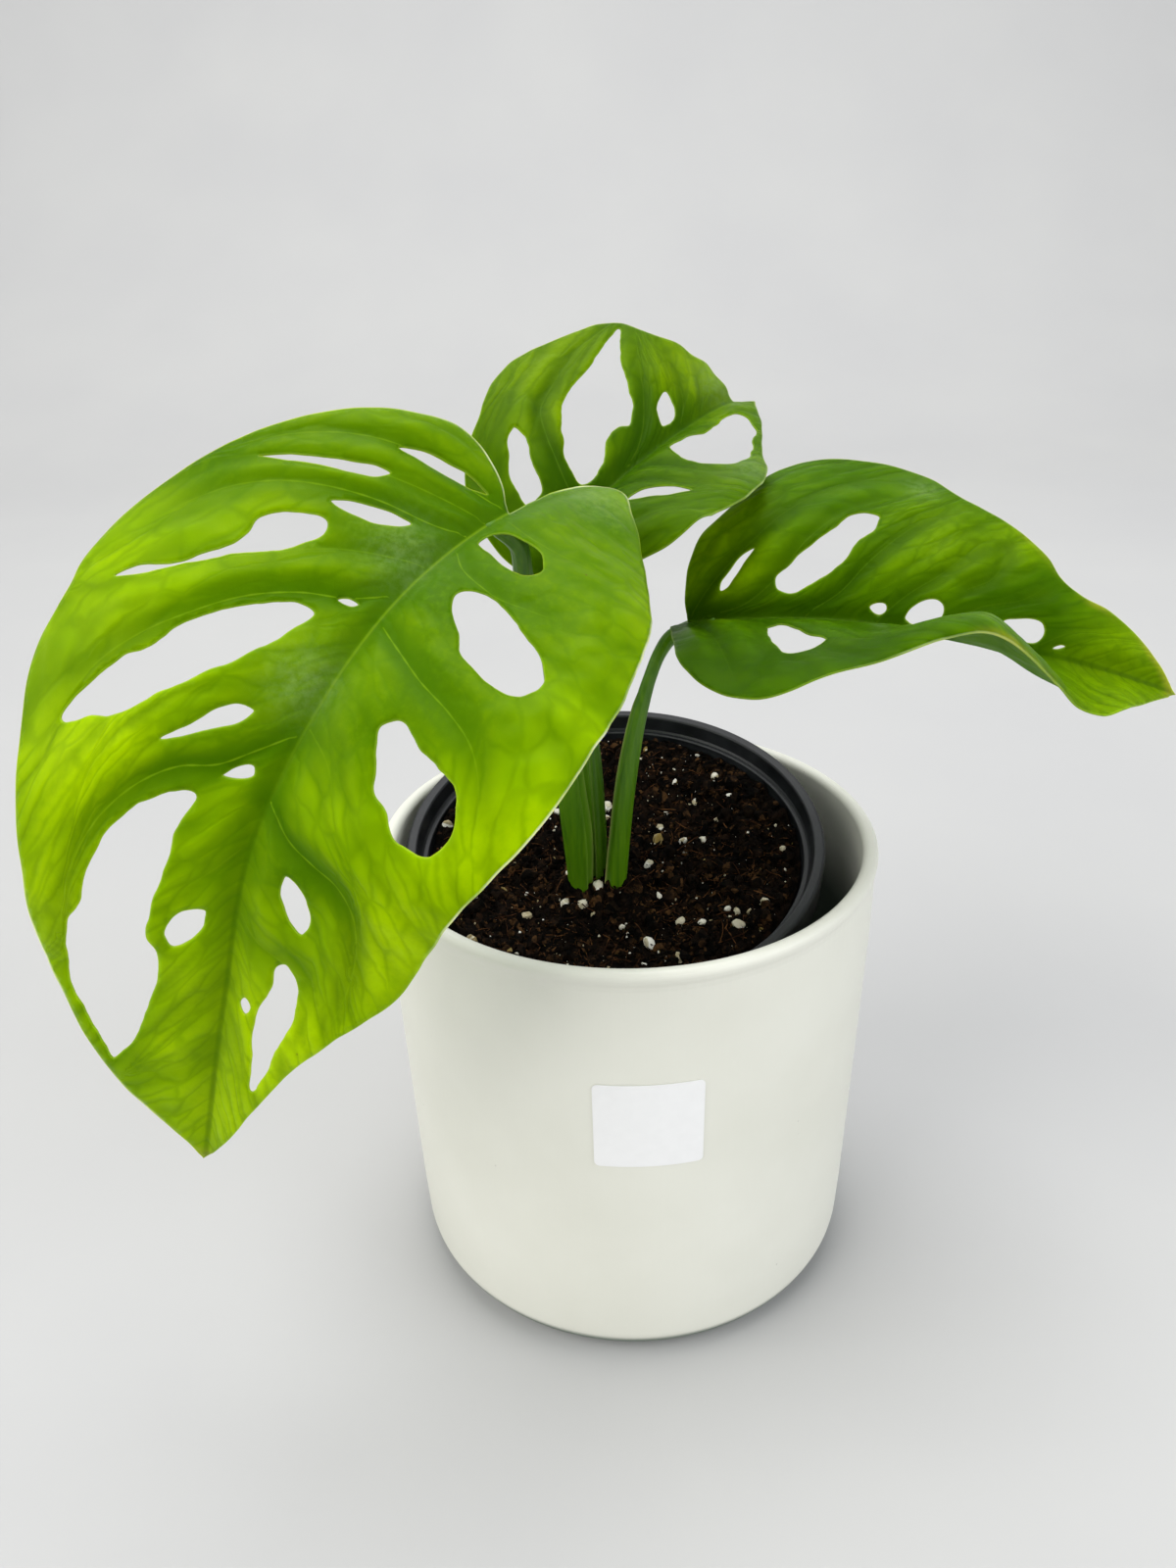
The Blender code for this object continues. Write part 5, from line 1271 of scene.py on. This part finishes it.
peat = soil_material("damp peat and coir", [(0.35, "#040302"), (0.8, "#2E1D12"), (0.6, "#120C08")])
crumb_finish = soil_material("bark and peat crumbs",
                             [(0.38, "#040302"), (0.8, "#644629"), (0.6, "#1B120B")],
                             scale=260.0, bump_depth=0.0005)
perlite_finish = soil_material("expanded perlite",
                               [(0.34, "#86713C"), (0.64, "#F0EDE2"), (0.48, "#D2CAB0")],
                               scale=120.0, roughness=0.8, bump_depth=0.0005)
fibre_finish = soil_material("coir fibre", [(0.3, "#1E120A"), (0.75, "#6E4A2B"), (0.5, "#3A2415")],
                             scale=300.0)
finish_piece(soil, peat, "soil")


# %% Scattering with Geometry Nodes
# How each kind of grain turns about its axes, in radians, and how it stretches along them: from and to.
TURNS = {"lump": ((0.0, 0.0, 0.0), (math.tau, math.tau, math.tau)),
         "fibre": ((-0.5, -0.5, 0.0), (0.5, 0.5, math.tau))}
STRETCHES = {"lump": ((0.6, 0.6, 0.5), (1.35, 1.1, 1.0)),
             "fibre": ((1.0, 1.0, 1.0), (1.0, 1.0, 1.0))}
# The higher this power, the rarer the large grains.
RARITY = 2.5
INPUTS = {"Geometry": "Geometry", "Density": "Float", "Smallest": "Float", "Largest": "Float",
          "Push": "Float", "Seed": "Int", "Finish": "Material"}


def grain_mesh(tree, kind, detail):
    """One grain, about one unit in size: a ball, or a bowed strand with a square section."""
    if kind == "lump":
        return node(tree, "GeometryNodeMeshIcoSphere", Radius=1.0, Subdivisions=detail).outputs[0]
    bow = node(tree, "GeometryNodeCurveQuadraticBezier", Resolution=5, Start=(-1.0, 0.0, 0.0),
               Middle=(0.0, 0.5, 0.25), End=(1.0, 0.1, 0.0)).outputs[0]
    ring = node(tree, "GeometryNodeCurvePrimitiveCircle", Resolution=4, Radius=0.04).outputs[0]
    return node(tree, "GeometryNodeCurveToMesh", [("Curve", bow), ("Profile Curve", ring)],
                Fill_Caps=True).outputs[0]


def scatter_tree(name, kind, detail=1):
    """Grains on a surface: named inputs for density, sizes and seed; kind is lump or fibre."""
    tree = bpy.data.node_groups.new(name, "GeometryNodeTree")
    for socket, sort in INPUTS.items():
        tree.interface.new_socket(socket, in_out="INPUT", socket_type="NodeSocket" + sort)
    tree.interface.new_socket("Geometry", in_out="OUTPUT", socket_type="NodeSocketGeometry")
    given = node(tree, "NodeGroupInput").outputs
    spots = node(tree, "GeometryNodeDistributePointsOnFaces",
                 [("Mesh", given["Geometry"]), ("Density", given["Density"]), ("Seed", given["Seed"])])
    draw = node(tree, "FunctionNodeRandomValue", [("Seed", given["Seed"])], data_type="FLOAT")
    rare = node(tree, "ShaderNodeMath", [(0, draw.outputs[1])], [(1, RARITY)], operation="POWER")
    size = node(tree, "ShaderNodeMapRange", [("Value", rare.outputs[0]), ("To Min", given["Smallest"]),
                                             ("To Max", given["Largest"])])
    spin, stretch = (node(tree, "FunctionNodeRandomValue", [("Seed", given["Seed"])],
                          enumerate(between[kind]), data_type="FLOAT_VECTOR").outputs[0]
                     for between in (TURNS, STRETCHES))
    shape = node(tree, "ShaderNodeVectorMath", [(0, stretch), ("Scale", size.outputs[0])],
                 operation="SCALE")
    put = node(tree, "GeometryNodeInstanceOnPoints",
               [("Points", spots.outputs["Points"]), ("Instance", grain_mesh(tree, kind, detail)),
                ("Rotation", spin), ("Scale", shape.outputs[0])])
    real = node(tree, "GeometryNodeRealizeInstances", [("Geometry", put.outputs[0])])
    place = node(tree, "GeometryNodeInputPosition").outputs[0]
    wave = node(tree, "ShaderNodeTexNoise", [("Vector", place)], Scale=520.0, Detail=2.0)
    centred = node(tree, "ShaderNodeVectorMath", [(0, wave.outputs["Color"])], [(1, (0.5, 0.5, 0.5))],
                   operation="SUBTRACT")
    push = node(tree, "ShaderNodeVectorMath", [(0, centred.outputs[0]), ("Scale", given["Push"])],
                operation="SCALE")
    bent = node(tree, "GeometryNodeSetPosition", [("Geometry", real.outputs[0]),
                                                  ("Offset", push.outputs[0])])
    painted = node(tree, "GeometryNodeSetMaterial", [("Geometry", bent.outputs[0]),
                                                     ("Material", given["Finish"])])
    node(tree, "NodeGroupOutput", [("Geometry", painted.outputs[0])])
    return tree


def soil_skin(margin, near):
    """The top of the soil, as the surface that grains lie on, or only what is near a stalk's foot."""
    top_only = bmesh.new()
    top_only.from_mesh(soil.data)

    def unwanted(v):
        at = (into_soil @ v.co).xy
        foot = min((at / MM - heap.xy).length for heap in HEAPS)
        return v.index < len(SIDES) * SOIL_AROUND or at.length > soil_r - margin or foot > near

    away = [v for v in top_only.verts if unwanted(v)]
    bmesh.ops.delete(top_only, geom=away, context="VERTS")
    mesh = bpy.data.meshes.new("soil skin")
    top_only.to_mesh(mesh)
    return mesh


def scatter(name, tree, material, margin, near=math.inf, **inputs):
    """Runs the tree on the soil's top, up to margin from its edge, and keeps the result as a mesh."""
    guide = add_object(name, soil_skin(margin, near))
    step = guide.modifiers.new("scatter", "NODES")
    step.node_group = tree
    inputs["Finish"] = material
    for item in tree.interface.items_tree:
        if item.in_out == "INPUT" and item.name in inputs:
            step[item.identifier] = inputs[item.name]
    settle(guide)
    finish_piece(guide, material, None)
    print(name, "has", len(guide.data.polygons), "faces")


# %% Crumbs, perlite and fibres
# Density is grains to a square metre. near is how far from a stalk's foot, in millimetres.
small_lumps = scatter_tree("scatter small lumps", "lump", 1)
large_lumps = scatter_tree("scatter large lumps", "lump", 2)
fibres = scatter_tree("scatter fibres", "fibre")
scatter("soil_crumbs", small_lumps, crumb_finish, 0.6 * MM, Density=1000000.0, Smallest=0.2 * MM,
        Largest=1.0 * MM, Push=2.2 * MM, Seed=3)
scatter("soil_lumps", large_lumps, crumb_finish, 2.0 * MM, Density=60000.0, Smallest=0.7 * MM,
        Largest=2.4 * MM, Push=3.2 * MM, Seed=8)
scatter("foot_lumps", large_lumps, crumb_finish, 2.0 * MM, near=6.5, Density=420000.0, Smallest=0.5 * MM,
        Largest=1.9 * MM, Push=2.6 * MM, Seed=14)
scatter("perlite", large_lumps, perlite_finish, 1.5 * MM, Density=14000.0, Smallest=0.3 * MM,
        Largest=1.9 * MM, Push=1.7 * MM, Seed=11)
# Partly real perlite dust, partly painted glints: tiny white flecks where wet soil would glint.
scatter("perlite_dust_and_painted_glints", small_lumps, perlite_finish, 1.0 * MM, Density=50000.0, Smallest=0.1 * MM,
        Largest=0.5 * MM, Push=0.8 * MM, Seed=21)
scatter("coir_fibres", fibres, fibre_finish, 4.0 * MM, Density=160000.0, Smallest=0.9 * MM,
        Largest=4.0 * MM, Push=1.0 * MM, Seed=5)

# %% [markdown]
# ## Label
# A small white paper sticker sits on the front of the pot. It is left blank. It is a thin sheet bent
# round the pot, with round corners, one grid of quads that Solidify gives its thickness.

# %% Label
LABEL_ANGLES = (math.radians(-100.0), math.radians(-76.4))
LABEL_HEIGHTS = (67.3 * MM, 91.7 * MM)
LABEL_LIFT = 0.12 * MM
LABEL_THICKNESS = 0.16 * MM
LABEL_CORNER = 1.3 * MM
LABEL_ROWS, LABEL_COLUMNS, CORNER_COLUMNS = 14, 24, 7


def paper_label():
    """Columns of points across the label, each shorter where the round corners cut it."""
    low, high = LABEL_HEIGHTS
    radius = pot_radius((low + high) / 2)
    width = (LABEL_ANGLES[1] - LABEL_ANGLES[0]) * radius
    corner = [LABEL_CORNER * (1 - math.cos(a)) for a in np.linspace(0, math.pi / 2, CORNER_COLUMNS)]
    across = corner + list(np.linspace(LABEL_CORNER, width - LABEL_CORNER, LABEL_COLUMNS))[1:-1]
    across += [width - c for c in corner[::-1]]
    points = []
    for s in across:
        inset = max(0.0, LABEL_CORNER - min(s, width - s))
        cut = LABEL_CORNER - math.sqrt(max(0.0, LABEL_CORNER**2 - inset**2))
        angle = LABEL_ANGLES[0] + s / radius
        for z in np.linspace(high - cut, low + cut, LABEL_ROWS):
            r = pot_radius(z) + LABEL_LIFT
            points.append((r * math.cos(angle), r * math.sin(angle), z))
    made = add_mesh("paper_label", points, quads(len(across), LABEL_ROWS, closed=False), smooth=False)
    thick = made.modifiers.new("thickness", "SOLIDIFY")
    thick.thickness = LABEL_THICKNESS
    thick.offset = 1.0
    return settle(made)


def label_material():
    """Coated white label paper: flat, faintly satin, a touch cooler than the glaze."""
    made, tree, surface = new_material("coated white label paper")
    place = node(tree, "ShaderNodeTexCoord").outputs["Object"]
    fibre = node(tree, "ShaderNodeTexNoise", [("Vector", place)], Scale=400.0, Detail=4.0)
    white = node(tree, "ShaderNodeMapRange", [("Value", fibre.outputs[0])], To_Min=0.88, To_Max=0.93)
    tree.links.new(white.outputs[0], surface.inputs["Base Color"])
    surface.inputs["Roughness"].default_value = 0.5
    tooth = node(tree, "ShaderNodeBump", [("Height", fibre.outputs[0])], Strength=0.08, Distance=0.00005)
    tree.links.new(tooth.outputs[0], surface.inputs["Normal"])
    return made


finish_piece(paper_label(), label_material(), "blank_label")
